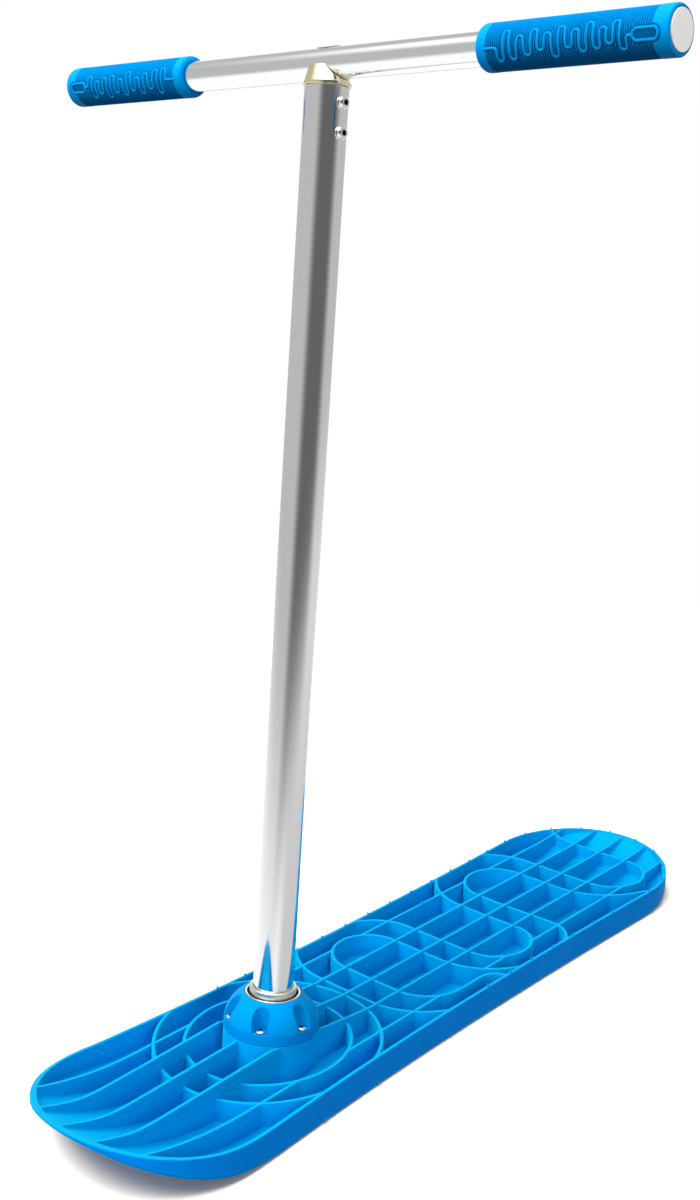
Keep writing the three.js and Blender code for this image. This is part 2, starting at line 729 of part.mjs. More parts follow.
// The bar end plug: a flat head in the mouth of the grip and a barbed stem in the tube.
function endPlug() {
  const head = barWidth / 2 + clearance;
  const stem = barRadius - barWall - clearance - barbHeight;
  const bore = stem - plugWall;
  const barb = [[stem, head - barbPitch], [stem + barbHeight, head - barbPitch / 2], [stem, head - barbPitch / 2]];
  const radius = postRadius - rimWall - clearance;
  const top = head + plugHeadHeight;
  return turned([
    [bore, head - plugReach], [stem, head - plugReach], ...barb, [stem, head], [radius, head],
    [radius, top - clearance], [radius - clearance, top], [0, top], [0, head], [bore, head],
  ], roundSteps);
}

const scooter = new THREE.Group();
scooter.add(meshOf("deck", deck(), bluePlastic));

// Everything that stands in the hub is drawn in the hub's own frame.
const hub = new THREE.Group();
hub.position.set(hubX, 0, hubHeight);
hub.rotation.y = -postRake;
scooter.add(hub);
hub.add(meshOf("hub_cover", hubCover(), bluePlastic));
hub.add(meshOf("cover_mouth_ring", mouthRing(), steel));
hub.add(meshOf("thrust_bush", thrustBush(), blackAcetal));
hub.add(meshOf("collar_bush", collarBush(), blackAcetal));
screwPlaces.forEach(([x, y], i) => {
  const screw = meshOf(`cover_screw_${i + 1}`, coverScrew(), steel);
  const insert = meshOf(`cover_insert_${i + 1}`, coverInsert(), brass);
  screw.position.set(x, y, 0);
  insert.position.set(x, y, 0);
  hub.add(screw, insert);
});

// The handlebar turns as one in the hub.
const handlebar = new THREE.Group();
hub.add(handlebar);
handlebar.add(meshOf("post_foot", postFoot(), goldCast));
handlebar.add(meshOf("post_tube", postTube(), aluminium));
handlebar.add(meshOf("stem_cap", stemCap(), goldCast));
boltHeights.forEach((height, i) => {
  const seat = postRadius + clearance / 2;
  const body = buttonBolt(seat, boltReach, boltHeadRadius, boltHeadHeight);
  const bolt = meshOf(`stem_bolt_${i ? "lower" : "upper"}`, body, steel);
  bolt.position.z = height;
  bolt.rotation.x = -Math.PI / 2;
  handlebar.add(bolt);
});

const bar = new THREE.Group();
bar.position.z = barHeight;
handlebar.add(bar);
const barBolt = buttonBolt(barRadius + clearance, barBoltReach + barRadius, barBoltHeadRadius, barBoltHeadHeight);
bar.add(meshOf("bar_bolt", barBolt, steel));
const crossbarMesh = meshOf("crossbar", crossbar(), aluminium);
crossbarMesh.rotation.x = -Math.PI / 2;
bar.add(crossbarMesh);
for (const [name, side] of [["left", 1], ["right", -1]]) {
  const end = new THREE.Group();
  end.rotation.x = (-side * Math.PI) / 2;
  const gripMesh = meshOf(`grip_${name}`, grip(), gripRubber);
  gripMesh.position.z = barWidth / 2 + plugHeadHeight + 2 * clearance - gripLength;
  end.add(gripMesh, meshOf(`bar_end_plug_${name}`, endPlug(), whitePlastic));
  bar.add(end);
}

export default scooter;
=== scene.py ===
import math

import bmesh
import bpy
import numpy as np
from mathutils import Matrix, Vector


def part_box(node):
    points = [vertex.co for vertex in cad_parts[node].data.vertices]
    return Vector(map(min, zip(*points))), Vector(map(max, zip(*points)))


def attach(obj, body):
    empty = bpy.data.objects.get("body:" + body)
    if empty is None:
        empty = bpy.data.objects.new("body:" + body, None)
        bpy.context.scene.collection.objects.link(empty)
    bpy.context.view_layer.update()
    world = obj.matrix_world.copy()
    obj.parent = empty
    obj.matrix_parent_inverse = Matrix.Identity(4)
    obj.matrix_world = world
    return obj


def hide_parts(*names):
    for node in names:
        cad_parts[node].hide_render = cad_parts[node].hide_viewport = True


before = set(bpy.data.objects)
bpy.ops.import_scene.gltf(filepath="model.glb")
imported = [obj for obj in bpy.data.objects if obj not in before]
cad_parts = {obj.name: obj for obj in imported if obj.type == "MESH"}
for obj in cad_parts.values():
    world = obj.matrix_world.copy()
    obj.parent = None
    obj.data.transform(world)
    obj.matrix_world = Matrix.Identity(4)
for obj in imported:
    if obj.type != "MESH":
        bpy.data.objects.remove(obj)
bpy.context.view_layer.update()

# The studio
# White paper under a wide lamp overhead, with a lamp before the nose and one on the rider's left.
# Polished metal sees a grey room: a floor, a dark wall, a ceiling, a soft box, a light, a screen.
mm = 0.001
paper_reach = 3000 * mm
paper_drop = 0.2 * mm
paper_fade = (700 * mm, 1500 * mm)
paper_seen = (1.91, 1.685, 1.645, 1)
paper_bounce = (0.1, 0.1, 0.1, 1)
paper_glow = 0.06
white = (1, 1, 1, 1)
room_light = 0.25
room_grey = 0.52
room_floor = 1.08
floor_line = (-0.1, -0.42)
from_below = (-2, -1.9)
to_above = (2, 1.9)
least_level = 0.01
room_panels = {
    "dim floor": dict(faces=125, reach=(80, 40), rises=from_below, falls=floor_line, tone=0.62),
    "dark wall": dict(faces=64, reach=(68, 24), rises=(-0.38, -0.06), falls=(0.66, 0.58),
                      tone=0.13),
    "ceiling": dict(faces=45, reach=(95, 60), rises=(0.58, 0.66), falls=to_above, tone=2.0),
    "soft box": dict(faces=-5, reach=(96, 62), rises=(0.45, 0.78), falls=to_above, tone=1.35,
                     beyond=(-0.76, -0.62)),
    "front light": dict(faces=16, reach=(50, 28), rises=(0.46, 0.6), falls=to_above, tone=3.2),
    "screen": dict(faces=-138, reach=(40, 18), rises=(0.1, 0.2), falls=(0.55, 0.45), tone=1.0),
}
lamps = {
    "overhead lamp": dict(place=(1.25, -0.6, 3.6), aim=(0.05, 0, 0), size=3.6, power=238,
                          tint=(1, 1.08, 0.94), on_paper=True),
    "nose lamp": dict(place=(3.7, -0.9, 1.9), aim=(0.1, 0, 0.1), size=2.1, power=95),
    "rider's side lamp": dict(place=(1.1, 3.4, 1.9), aim=(0, 0, 0.1), size=1.9, power=70),
}


def node_of(tree, kind, settings=(), **sockets):
    """A shader node with its settings and the values or links of its named or numbered sockets."""
    made = tree.nodes.new(kind)
    for name, value in dict(settings).items():
        setattr(made, name, value)
    for name, value in sockets.items():
        number = name[1:]
        socket = made.inputs[int(number) if number.isdigit() else name.replace("_", " ")]
        if isinstance(value, bpy.types.NodeSocket):
            tree.links.new(value, socket)
        else:
            socket.default_value = value
    return made


def arithmetic(tree, operation, *values):
    """One step of arithmetic in a node tree."""
    sockets = {f"_{i}": value for i, value in enumerate(values)}
    return node_of(tree, "ShaderNodeMath", {"operation": operation}, **sockets).outputs[0]


def between(tree, value, start, end, low=0.0, high=1.0):
    """A smooth change from low to high while a value goes from start to end."""
    smooth = {"interpolation_type": "SMOOTHSTEP"}
    ramp = node_of(tree, "ShaderNodeMapRange", smooth, _0=value, _1=start, _2=end, _3=low, _4=high)
    return ramp.outputs[0]


def blend_tones(tree, share, first, second):
    """A colour that goes from the first to the second with a share."""
    blend = node_of(tree, "ShaderNodeMix", {"data_type": "RGBA"}, _0=share, _6=first, _7=second)
    return blend.outputs[2]


def blend_shaders(tree, share, first, second):
    """A shader that goes from the first to the second with a share."""
    return node_of(tree, "ShaderNodeMixShader", _0=share, _1=first, _2=second).outputs[0]


def panel_share(tree, height, level, panel):
    """How much of a direction a panel of the room covers, from 0 to 1, with soft edges."""
    x, y, flat = level
    faces = math.radians(panel["faces"])
    soft, full = (math.cos(math.radians(angle)) for angle in panel["reach"])
    along_x = arithmetic(tree, "MULTIPLY", x, math.cos(faces))
    along_y = arithmetic(tree, "MULTIPLY", y, math.sin(faces))
    toward = arithmetic(tree, "ADD", along_x, along_y)
    facing = arithmetic(tree, "DIVIDE", toward, arithmetic(tree, "MAXIMUM", flat, least_level))
    around = between(tree, facing, soft, full)
    aside = between(tree, y, *panel.get("beyond", from_below))
    rising = between(tree, height, *panel["rises"])
    falling = between(tree, height, *panel["falls"])
    across = arithmetic(tree, "MULTIPLY", around, aside)
    upright = arithmetic(tree, "MULTIPLY", rising, falling)
    return arithmetic(tree, "MULTIPLY", across, upright)


def light_the_room():
    """The world: white behind the scooter, even light on it, and the grey room in its metal."""
    world = bpy.data.worlds.new("studio room")
    bpy.context.scene.world = world
    world.use_nodes = True
    tree = world.node_tree
    tree.nodes.clear()
    way = node_of(tree, "ShaderNodeTexCoord").outputs["Generated"]
    x, y, height = node_of(tree, "ShaderNodeSeparateXYZ", _0=way).outputs
    squares = [arithmetic(tree, "POWER", part, 2.0) for part in (x, y)]
    flat = arithmetic(tree, "SQRT", arithmetic(tree, "ADD", *squares))
    room = between(tree, height, *floor_line, room_grey, room_floor)
    for panel in room_panels.values():
        share = panel_share(tree, height, (x, y, flat), panel)
        sockets = {"_0": share, "_2": room, "_3": panel["tone"]}
        room = node_of(tree, "ShaderNodeMix", {"data_type": "FLOAT"}, **sockets).outputs[0]
    seen, mirrored, even = (
        node_of(tree, "ShaderNodeBackground", Color=white, Strength=strength).outputs[0]
        for strength in (1.0, room, room_light))
    rays = node_of(tree, "ShaderNodeLightPath").outputs
    lit = blend_shaders(tree, rays["Is Glossy Ray"], even, mirrored)
    whole = blend_shaders(tree, rays["Is Camera Ray"], lit, seen)
    node_of(tree, "ShaderNodeOutputWorld", Surface=whole)


def blank_finish(name):
    """A new material, its empty node tree, and the place on the piece that its nodes start from."""
    finish = bpy.data.materials.new(name)
    finish.use_nodes = True
    tree = finish.node_tree
    tree.nodes.clear()
    return finish, tree, node_of(tree, "ShaderNodeTexCoord").outputs["Object"]


def paper_finish():
    """White paper that fades into the white room, so that only the scooter's shadow shows on it."""
    finish, tree, place = blank_finish("white paper")
    away = node_of(tree, "ShaderNodeVectorMath", {"operation": "LENGTH"}, _0=place).outputs["Value"]
    fade = between(tree, away, *paper_fade, paper_glow)
    seen = node_of(tree, "ShaderNodeLightPath").outputs["Is Camera Ray"]
    tone = blend_tones(tree, seen, paper_bounce, paper_seen)
    matt = node_of(tree, "ShaderNodeBsdfDiffuse", Color=tone).outputs[0]
    strength = between(tree, seen, 0, 1, room_light)
    glow = node_of(tree, "ShaderNodeEmission", Color=white, Strength=strength).outputs[0]
    faded = blend_shaders(tree, fade, matt, glow)
    node_of(tree, "ShaderNodeOutputMaterial", Surface=faded)
    return finish


def hang_lamp(name, place, aim, size, power, tint=(1, 1, 1), on_paper=False):
    """A square soft lamp pointed at a place on the scooter. Its light may keep off the paper."""
    lamp = bpy.data.lights.new(name, "AREA")
    lamp.size = size
    lamp.energy = power
    lamp.color = tint
    hung = bpy.data.objects.new(name, lamp)
    hung.location = place
    hung.rotation_euler = (Vector(aim) - Vector(place)).to_track_quat("-Z", "Y").to_euler()
    hung.visible_glossy = False
    hung.visible_camera = False
    hung.light_linking.receiver_collection = None if on_paper else off_the_paper
    bpy.context.collection.objects.link(hung)


light_the_room()
paper_mesh = bpy.data.meshes.new("paper")
corners = [(-1, -1), (1, -1), (1, 1), (-1, 1)]
sheet = [(x * paper_reach, y * paper_reach, -paper_drop) for x, y in corners]
paper_mesh.from_pydata(sheet, [], [(0, 1, 2, 3)])
paper_mesh.materials.append(paper_finish())
paper = bpy.data.objects.new("paper", paper_mesh)
paper.visible_glossy = False
bpy.context.collection.objects.link(paper)
off_the_paper = bpy.data.collections.new("kept off the paper")
off_the_paper.objects.link(paper)
off_the_paper.collection_objects[0].light_linking.link_state = "EXCLUDE"
for name, lamp in lamps.items():
    hang_lamp(name, **lamp)

# The camera
# It stands before the nose on the rider's left, about as high as the bar, and looks down at the
# post's middle. Its place and lens were fitted to the outline of the deck, the post and the bar.
camera_place = Vector((882.9, 747.4, 646.8)) * mm
camera_turn = math.radians(-137.70)
camera_fall = math.radians(14.386)
film_height = 36
lens = 44.1
nearest_seen = 10 * mm
looks = Vector((
    math.cos(camera_turn) * math.cos(camera_fall),
    math.sin(camera_turn) * math.cos(camera_fall),
    -math.sin(camera_fall),
))
camera = bpy.data.objects.new("camera", bpy.data.cameras.new("camera"))
camera.location = camera_place
camera.rotation_euler = looks.to_track_quat("-Z", "Y").to_euler()
camera.data.sensor_fit = "VERTICAL"
camera.data.sensor_height = film_height
camera.data.lens = lens
camera.data.clip_start = nearest_seen
bpy.context.collection.objects.link(camera)
bpy.context.scene.camera = camera
bpy.context.scene.view_settings.view_transform = "Standard"

# The deck tray
# One moulding in azure plastic: a sole that curves up at nose and tail, a rim all round and a
# floor. The ends are half ellipses and the sides drawn in. Inside the pockets the azure is
# painted darker and greener: painted shade and painted bounce light.
deck_low, deck_high = (Vector(corner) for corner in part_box("deck"))
nose_x, tail_x = deck_high.x, deck_low.x
nose_half = deck_high.y
tail_half = 87.5 * mm
waist_half = 83 * mm
nose_round = 96 * mm
tail_round = 87 * mm
nose_centre, tail_centre = nose_x - nose_round, tail_x + tail_round
nose_to_waist = 378 * mm
waist_x = nose_x - nose_to_waist
waist_handle_share, end_handle_share = 0.62, 0.12
end_steps, side_steps, corner_steps = 48, 40, 5
rim_height = 25 * mm
dish_depth = 2 * mm
rim_wall = 3 * mm
rim_round = 0.45 * mm
lip_length, lip_wall, lip_round = 75 * mm, 5.2 * mm, 1.5 * mm
floor_wall = 4 * mm
floor_fillet = 2 * mm
sole_round = 3 * mm
nose_lift, nose_lift_length = 22 * mm, 123 * mm
nose_lip, nose_kick_length = 3.6 * mm, 134 * mm
tail_lift, tail_lift_length = 3 * mm, 79 * mm
tail_lip, tail_kick_length = 3.5 * mm, 108 * mm
pocket_shade_rings = 3
weld = 0.002 * mm
azure = (0.0, 0.235, 0.83)
azure_deep = (0.0, 0.222, 0.79)
# Painted shade and bounce light for the pockets: a darker, greener azure.
azure_pocket_painted_shade = (0.0, 0.283, 0.65)
flow_scale, haze_scale, grain_scale = 38.0, 210.0, 1900.0
grain_height = 0.06 * mm
cloud = (0.3, 0.7)
plastic_shine = 0.05
bloom_roughness = 0.3
bloom_tint = (0, 1, 1, 1)


def clouds(tree, place, scale, detail, roughness):
    """A soft uneven pattern over a piece, from 0 to 1."""
    sockets = {"Vector": place, "Scale": scale, "Detail": detail, "Roughness": roughness}
    return node_of(tree, "ShaderNodeTexNoise", **sockets).outputs["Fac"]


def tone_painted_shade(tree, tone, painted_shade):
    """A tone that turns to a colour of painted shade, if given, where the piece is marked for it.
    """
    if not painted_shade:
        return tone
    depth = node_of(tree, "ShaderNodeAttribute", {"attribute_name": "painted_shade"}).outputs["Fac"]
    return blend_tones(tree, depth, tone, (*painted_shade, 1))


def moulded_plastic(name, colour, deep, grain=0.35, gloss=(0.42, 0.52), bloom=0.0, painted_shade=None):
    """Moulded plastic: a faint mottle in its colour, an uneven satin gloss and a fine grain."""
    finish, tree, place = blank_finish(name)
    flow = between(tree, clouds(tree, place, flow_scale, detail=3.0, roughness=0.5), *cloud)
    # Marked places take the painted shade colour, where one is given.
    tone = tone_painted_shade(tree, blend_tones(tree, flow, (*deep, 1), (*colour, 1)), painted_shade)
    haze = clouds(tree, place, haze_scale, detail=4.0, roughness=0.6)
    rough = between(tree, haze, *cloud, *gloss)
    grains = clouds(tree, place, grain_scale, detail=2.0, roughness=0.5)
    bump = node_of(tree, "ShaderNodeBump", Strength=grain, Distance=grain_height, Height=grains)
    shader = node_of(
        tree, "ShaderNodeBsdfPrincipled", Base_Color=tone, Roughness=rough, Normal=bump.outputs[0],
        Specular_IOR_Level=plastic_shine, Specular_Tint=(*colour, 1),
        Sheen_Weight=bloom, Sheen_Roughness=bloom_roughness, Sheen_Tint=bloom_tint)
    node_of(tree, "ShaderNodeOutputMaterial", Surface=shader.outputs[0])
    return finish


def skin(name, points, faces, finish, body, crease=38, painted_shade_marks=None):
    """A piece made of welded faces, smooth except at creases, that moves with a body."""
    mesh = bpy.data.meshes.new(name)
    mesh.from_pydata([tuple(point) for point in points], [], faces)
    if painted_shade_marks is not None:
        mesh.attributes.new("painted_shade", "FLOAT", "POINT").data.foreach_set("value", painted_shade_marks)
    form = bmesh.new()
    form.from_mesh(mesh)
    bmesh.ops.remove_doubles(form, verts=form.verts, dist=weld)
    bmesh.ops.dissolve_degenerate(form, edges=form.edges, dist=weld)
    bmesh.ops.recalc_face_normals(form, faces=form.faces)
    form.to_mesh(mesh)
    form.free()
    mesh.shade_smooth()
    mesh.set_sharp_from_angle(angle=math.radians(crease))
    mesh.materials.append(finish)
    piece = bpy.data.objects.new(name, mesh)
    bpy.context.collection.objects.link(piece)
    flats = piece.modifiers.new("true flats", "WEIGHTED_NORMAL")
    flats.keep_sharp = True
    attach(piece, body)
    return piece


def band(first, second, count):
    """The faces between two rings of points, given by the number of each ring's first point."""
    return [(first + k, first + (k + 1) % count, second + (k + 1) % count, second + k)
            for k in range(count)]


def deck_edge():
    """Half the outline of the deck from the tail's tip to the nose's tip, as (x, half width)."""
    def half_ellipse(centre, reach, half, start):
        angles = [start + math.pi / 2 * i / end_steps for i in range(end_steps + 1)]
        return [(centre + reach * math.sin(a), half * math.cos(a)) for a in angles]

    def drawn_in(centre, half):
        reach = centre - waist_x
        handles = waist_x + reach * waist_handle_share, centre - reach * end_handle_share
        xs, ys = [waist_x, *handles, centre], [waist_half, waist_half, half, half]
        side = []
        for i in range(side_steps + 1):
            t = i / side_steps
            shares = [(1 - t) ** 3, 3 * t * (1 - t) ** 2, 3 * t * t * (1 - t), t ** 3]
            side.append(tuple(sum(s * v for s, v in zip(shares, values)) for values in (xs, ys)))
        return side

    tail = half_ellipse(tail_centre, tail_round, tail_half, -math.pi / 2)
    nose = half_ellipse(nose_centre, nose_round, nose_half, 0)
    to_waist, from_waist = drawn_in(tail_centre, tail_half)[::-1], drawn_in(nose_centre, nose_half)
    return tail + to_waist[1:] + from_waist[1:] + nose[1:]


edge = deck_edge()
edge_xs, edge_halves = zip(*edge)


def half_width_at(x):
    return float(np.interp(x, edge_xs, edge_halves))


def arc_rise(distance, length, height):
    """The rise of a circular arc that gains a height over a length."""
    if distance <= 0:
        return 0
    radius = (length ** 2 + height ** 2) / (2 * height)
    return radius - math.sqrt(radius ** 2 - min(distance, radius) ** 2)


def ends_rise(x, nose_length, nose_height, tail_length, tail_height):
    """How far the deck has curved up at x, towards the nose or towards the tail."""
    nose = arc_rise(x - nose_x + nose_length, nose_length, nose_height)
    return nose + arc_rise(tail_x + tail_length - x, tail_length, tail_height)


def rim_at(x):
    return rim_height + ends_rise(x, nose_lift_length, nose_lift, tail_lift_length, tail_lift)


def sole_at(x):
    nose_kick, tail_kick = rim_height + nose_lift - nose_lip, rim_height + tail_lift - tail_lip
    return ends_rise(x, nose_kick_length, nose_kick, tail_kick_length, tail_kick)


def floor_at(x):
    return min(sole_at(x) + floor_wall, rim_at(x))


def lip_share(x):
    """How far the rim has grown into the wide lip of the nose, from 0 to 1."""
    share = min(1, max(0, (x - nose_x + lip_length) / lip_length))
    return share * share * (3 - 2 * share)


def wall_at(x):
    return rim_wall + (lip_wall - rim_wall) * lip_share(x)


def round_at(x):
    return rim_round + (lip_round - rim_round) * lip_share(x)


def edge_ring(inset_at, height_at):
    """The deck's outline drawn in by an inset, as a ring of points. Inset and height follow x."""
    left = []
    for i, (x, y) in enumerate(edge):
        before = edge[i - 1] if i else (edge[1][0], -edge[1][1])
        after = edge[i + 1] if i < len(edge) - 1 else (edge[-2][0], -edge[-2][1])
        along = Vector((after[0] - before[0], after[1] - before[1])).normalized()
        inset = inset_at(x)
        drawn = x + along.y * inset
        left.append((drawn, max(0, y - along.x * inset), height_at(drawn)))
    left[0] = (left[0][0], 0, left[0][2])
    left[-1] = (left[-1][0], 0, left[-1][2])
    return left + [(x, -y, z) for x, y, z in left[-2:0:-1]]


def quarter(steps=corner_steps):
    """Shares of a rounded corner, from its start (0, 0) to its end (1, 1)."""
    angles = [math.pi / 2 * i / steps for i in range(steps + 1)]
    return [(1 - math.cos(angle), math.sin(angle)) for angle in angles]


def tray_rings():
    """Rings of the tray's skin: up from the sole, over the rim and down to the floor."""
    def sole_corner(x):
        return min(sole_round, (rim_at(x) - sole_at(x)) / 2)

    def wall_foot(x):
        return max(rim_at(x) - rim_round, floor_at(x))

    rings = []
    for rise, out in quarter():
        rings.append(edge_ring(
            lambda x: sole_round * (1 - out),
            lambda x: sole_at(x) + rise * sole_corner(x)))
    for drawn, up in quarter():
        rings.append(edge_ring(
            lambda x: round_at(x) * drawn,
            lambda x: rim_at(x) - round_at(x) * (1 - up)))
    for fall, across in quarter():
        rings.append(edge_ring(
            lambda x: wall_at(x) - rim_round * (1 - across),
            lambda x: max(rim_at(x) - rim_round * fall, floor_at(x))))
    for across, fall in quarter():
        rings.append(edge_ring(
            lambda x: wall_at(x) + floor_fillet * across,
            lambda x: min(floor_at(x) + floor_fillet * (1 - fall), wall_foot(x))))
    return rings


def make_tray(finish):
    """The tray, its rings closed by strips across the sole and across the floor."""
    rings = tray_rings()
    count = len(rings[0])
    points = [point for ring in rings for point in ring]
    starts = range(0, len(points), count)
    faces = [face for pair in zip(starts, starts[1:]) for face in band(*pair, count)]
    for start in (starts[0], starts[-1]):
        for i in range(count // 2):
            strip = dict.fromkeys((i, i + 1, (count - i - 1) % count, (count - i) % count))
            faces.append(tuple(start + k for k in strip))
    # The rings inside the rim take the pockets' painted shade, fading in over a few rings.
    marks = [min(1, max(0, level - corner_steps - 1) / pocket_shade_rings) for level in range(len(rings))]
    painted_shade_marks = [mark for mark in marks for _ in range(count)]
    return skin("deck_tray", points, faces, finish, "deck", painted_shade_marks=painted_shade_marks)


# The pockets take a darker, greener azure: painted shade and painted bounce light.
deck_plastic = moulded_plastic(
    "azure deck plastic", azure, azure_deep, bloom=0.65, painted_shade=azure_pocket_painted_shade)
deck_tray = make_tray(deck_plastic)
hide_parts("deck")

# The ribs of the deck
# Moulded with the tray, with rounded tops and filleted feet. Five run from tail to nose, cross
# ribs wind over the deck in half circles and flare out to the rims, and two rings circle the hub.
nose_to_hub = 208 * mm
hub_x = nose_x - nose_to_hub
hub_height = rim_height - dish_depth
post_rake = math.radians(5.57)
rib_spacing = 30 * mm
rib_wall = 2.7 * mm
rib_draft = 0.35 * mm
rib_round = 0.35 * mm
rib_fillet = 1.3 * mm
rib_sink = 0.4 * mm
rib_end = 1.3 * mm
rib_into_boss = 3 * mm
rib_fillet_steps, rib_top_steps = 3, 4
bend_step = math.radians(4)
trim_step, trim_keep = 0.8 * mm, 4
ring_radii = (66 * mm, 90 * mm)
ring_x = hub_x + hub_height * math.tan(post_rake)
ring_step = math.radians(3)
hub_to_tracks = 94.5 * mm
track_pitch = 94.7 * mm
track_width = 28.5 * mm
bend_from_middle = 33 * mm
bend_radius = (track_pitch - track_width) / 2
return_bend_radius = 37 * mm
return_flare_radius = 16 * mm
return_flare_ahead = return_flare_radius / 8
return_gap_back, return_gap_front = 0.75, 0.5
flare_tail = 30 * mm
flare_sweep = math.pi / 3
boss_radius = 37.5 * mm
boss_top = 10 * mm
crest_front, crest_front_length, crest_front_drop = 13.6 * mm, 118 * mm, 4 * mm
crest_back_length = 48 * mm
crest_blend = 3 * mm
crest_past_boss = 0.7 * mm
crest_under_cover = 0.6 * mm
flare_shares = [
    {"start": (0.46, -0.63), "end": (0.29, -0.72)},
    {"start": (0.46, 0.48), "end": (0.27, -0.71)},
    {"start": (0.46, 0.48), "end": (0.4, -0.63)},
    {"start": (0.61, 0.35), "end": (0.18, -0.75)},
    {"start": (0.48, 0.61), "end": (0.4, -0.63)},
]
loops = math.floor((hub_x - hub_to_tracks - track_width - tail_x) / track_pitch)


def rib_top_at(x, y):
    half = half_width_at(x)
    return rim_at(x) - dish_depth * max(0, half ** 2 - y ** 2) / waist_half ** 2


def crest_at(x, y):
    """The ribs beside the hub rise to the foot of its cover and fall away slowly to the nose."""
    ahead = x - hub_x
    if math.hypot(ahead, y) < boss_radius + crest_past_boss:
        return hub_height + boss_top - crest_under_cover + ahead * math.sin(post_rake)
    if ahead > 0:
        crest = hub_height + crest_front - crest_front_drop * ahead / crest_front_length
    else:
        start = boss_top - boss_radius * math.sin(post_rake)
        crest = hub_height + start * max(0, 1 + (ahead + boss_radius) / crest_back_length)
    plain = rib_top_at(x, y)
    return (crest + plain + math.hypot(crest - plain, crest_blend)) / 2


def finely(path, longest):
    """Adds points to a path so that no step is longer than a length."""
    fine = [Vector(path[0])]
    for a, b in zip(path, path[1:]):
        steps = max(1, math.ceil((Vector(b) - Vector(a)).length / longest))
        fine += [Vector(a).lerp(Vector(b), k / steps) for k in range(1, steps + 1)]
    return fine


def arc_of(x, y, radius, start, stop, step=bend_step):
    """The points of an arc round a place, from one angle to another."""
    steps = max(2, math.ceil(abs(stop - start) / step))
    angles = [start + (stop - start) * i / steps for i in range(steps + 1)]
    return [(x + radius * math.cos(a), y + radius * math.sin(a)) for a in angles]


def leg_x(pair, second=False):
    return hub_x - hub_to_tracks - pair * track_pitch - (track_width if second else 0)


def flare(x, side, leave, turn):
    """A free end of a cross rib, from its straight leg out to the rim."""
    radius = abs(turn) * track_pitch
    arc = arc_of(-radius, 0, radius, 0, flare_sweep)
    back, out = math.sin(flare_sweep) * flare_tail, math.cos(flare_sweep) * flare_tail
    arc.append((arc[-1][0] - back, arc[-1][1] + out))
    return [(x - math.copysign(1, turn) * u, side * (leave * waist_half + v)) for u, v in arc]


def bend(pair, side):
    """The half circle that joins two neighbouring legs of the cross ribs."""
    centre = leg_x(pair, True) - bend_radius
    return arc_of(centre, side * bend_from_middle, bend_radius, 0, side * math.pi)


def return_end():
    """The end of the first loop, which turns back along the near rim before it meets it."""
    start = bend_from_middle + bend_radius - return_bend_radius
    flare_x = leg_x(1) + return_flare_ahead
    flare_y = start + return_bend_radius + return_flare_radius
    back = arc_of(leg_x(0, True) - return_bend_radius, start, return_bend_radius, 0, math.pi / 2)
    out = arc_of(flare_x, flare_y, return_flare_radius, -math.pi / 2, -math.pi)
    return back + out + [(flare_x - return_flare_radius, flare_y + rim_wall)]


def cross_paths():
    """Paths of the cross ribs, from the hub to the tail. Each starts and ends at a rim."""
    paths = []
    for k in range(loops + 1):
        side = 1 if k % 2 else -1
        shares = flare_shares[min(k, len(flare_shares) - 1)]
        go = flare(leg_x(k), side if k else -side, *shares["end"])
        if k == 0:
            paths.append(flare(leg_x(0), side, *shares["start"])[::-1] + go)
            continue
        come = return_end() if k == 1 else flare(leg_x(k - 1, True), side, *shares["start"])
        paths.append(come[::-1] + bend(k - 1, -side) + go)
    return paths


def within_rim(x, y):
    """Whether a place lies inside the middle of the rim's wall."""
    if tail_centre <= x <= nose_centre:
        return abs(y) <= half_width_at(x) - rib_end
    if x > nose_centre:
        centre, reach, half = nose_centre, nose_round, nose_half
    else:
        centre, reach, half = tail_centre, tail_round, tail_half
    return math.hypot((x - centre) / (reach - rib_end), y / (half - rib_end)) <= 1


def inside(path):
    """The runs of a path that lie on the deck, ended in the middle of the rim's wall."""
    runs = [[]]
    for point in finely(path, trim_step):
        if within_rim(*point):
            runs[-1].append(point)
        elif runs[-1]:
            runs.append([])
    return [run[:-1:trim_keep] + run[-1:] for run in runs if len(run) > trim_keep]


def length_runs(y, gaps):
    """A lengthwise rib at y, left open where the loops and the hub stand, as pairs of ends."""
    ends = [tail_x]
    for centre, half in gaps:
        ends += [centre - half, centre + half]
    ends.append(nose_x)
    return [[(ends[i], y), (ends[i + 1], y)] for i in range(0, len(ends), 2)]


def chord(radius, offset):
    return math.sqrt(max(0, radius ** 2 - offset ** 2))


def length_paths():
    """Paths of the three middle lengthwise ribs, which carry the crest, and of the outer two."""
    line = 2 * rib_spacing
    middle = []
    for y in (-rib_spacing, 0, rib_spacing):
        middle += length_runs(y, [(hub_x, chord(boss_radius - rib_into_boss, y))])
    ring_gap = (ring_x, chord(ring_radii[0], line))
    bend_gap = chord(bend_radius, line - bend_from_middle)
    bends = [(pair, (leg_x(pair, True) - bend_radius, bend_gap)) for pair in reversed(range(loops))]
    back = leg_x(1) - return_flare_radius * return_gap_back
    front = leg_x(0, True) - return_bend_radius * return_gap_front
    return_gap = ((back + front) / 2, (front - back) / 2)
    far = [gap for pair, gap in bends if pair % 2 == 0] + [ring_gap]
    near = [gap for pair, gap in bends if pair % 2] + [return_gap, ring_gap]
    return middle, length_runs(-line, far) + length_runs(line, near)


def rib_section(top, foot):
    """Half a rib's section from its foot to the middle of its top, as (offset, height)."""
    foot = min(foot, top - rib_round - rib_fillet)
    half = rib_wall / 2
    section = [(half + rib_draft + rib_fillet, foot - rib_sink)]
    for rise, out in quarter(rib_fillet_steps):
        section.append((half + rib_draft + rib_fillet * (1 - out), foot + rib_fillet * rise))
    for rise, out in quarter(rib_top_steps):
        section.append((half - rib_round * rise, top - rib_round * (1 - out)))
    return section


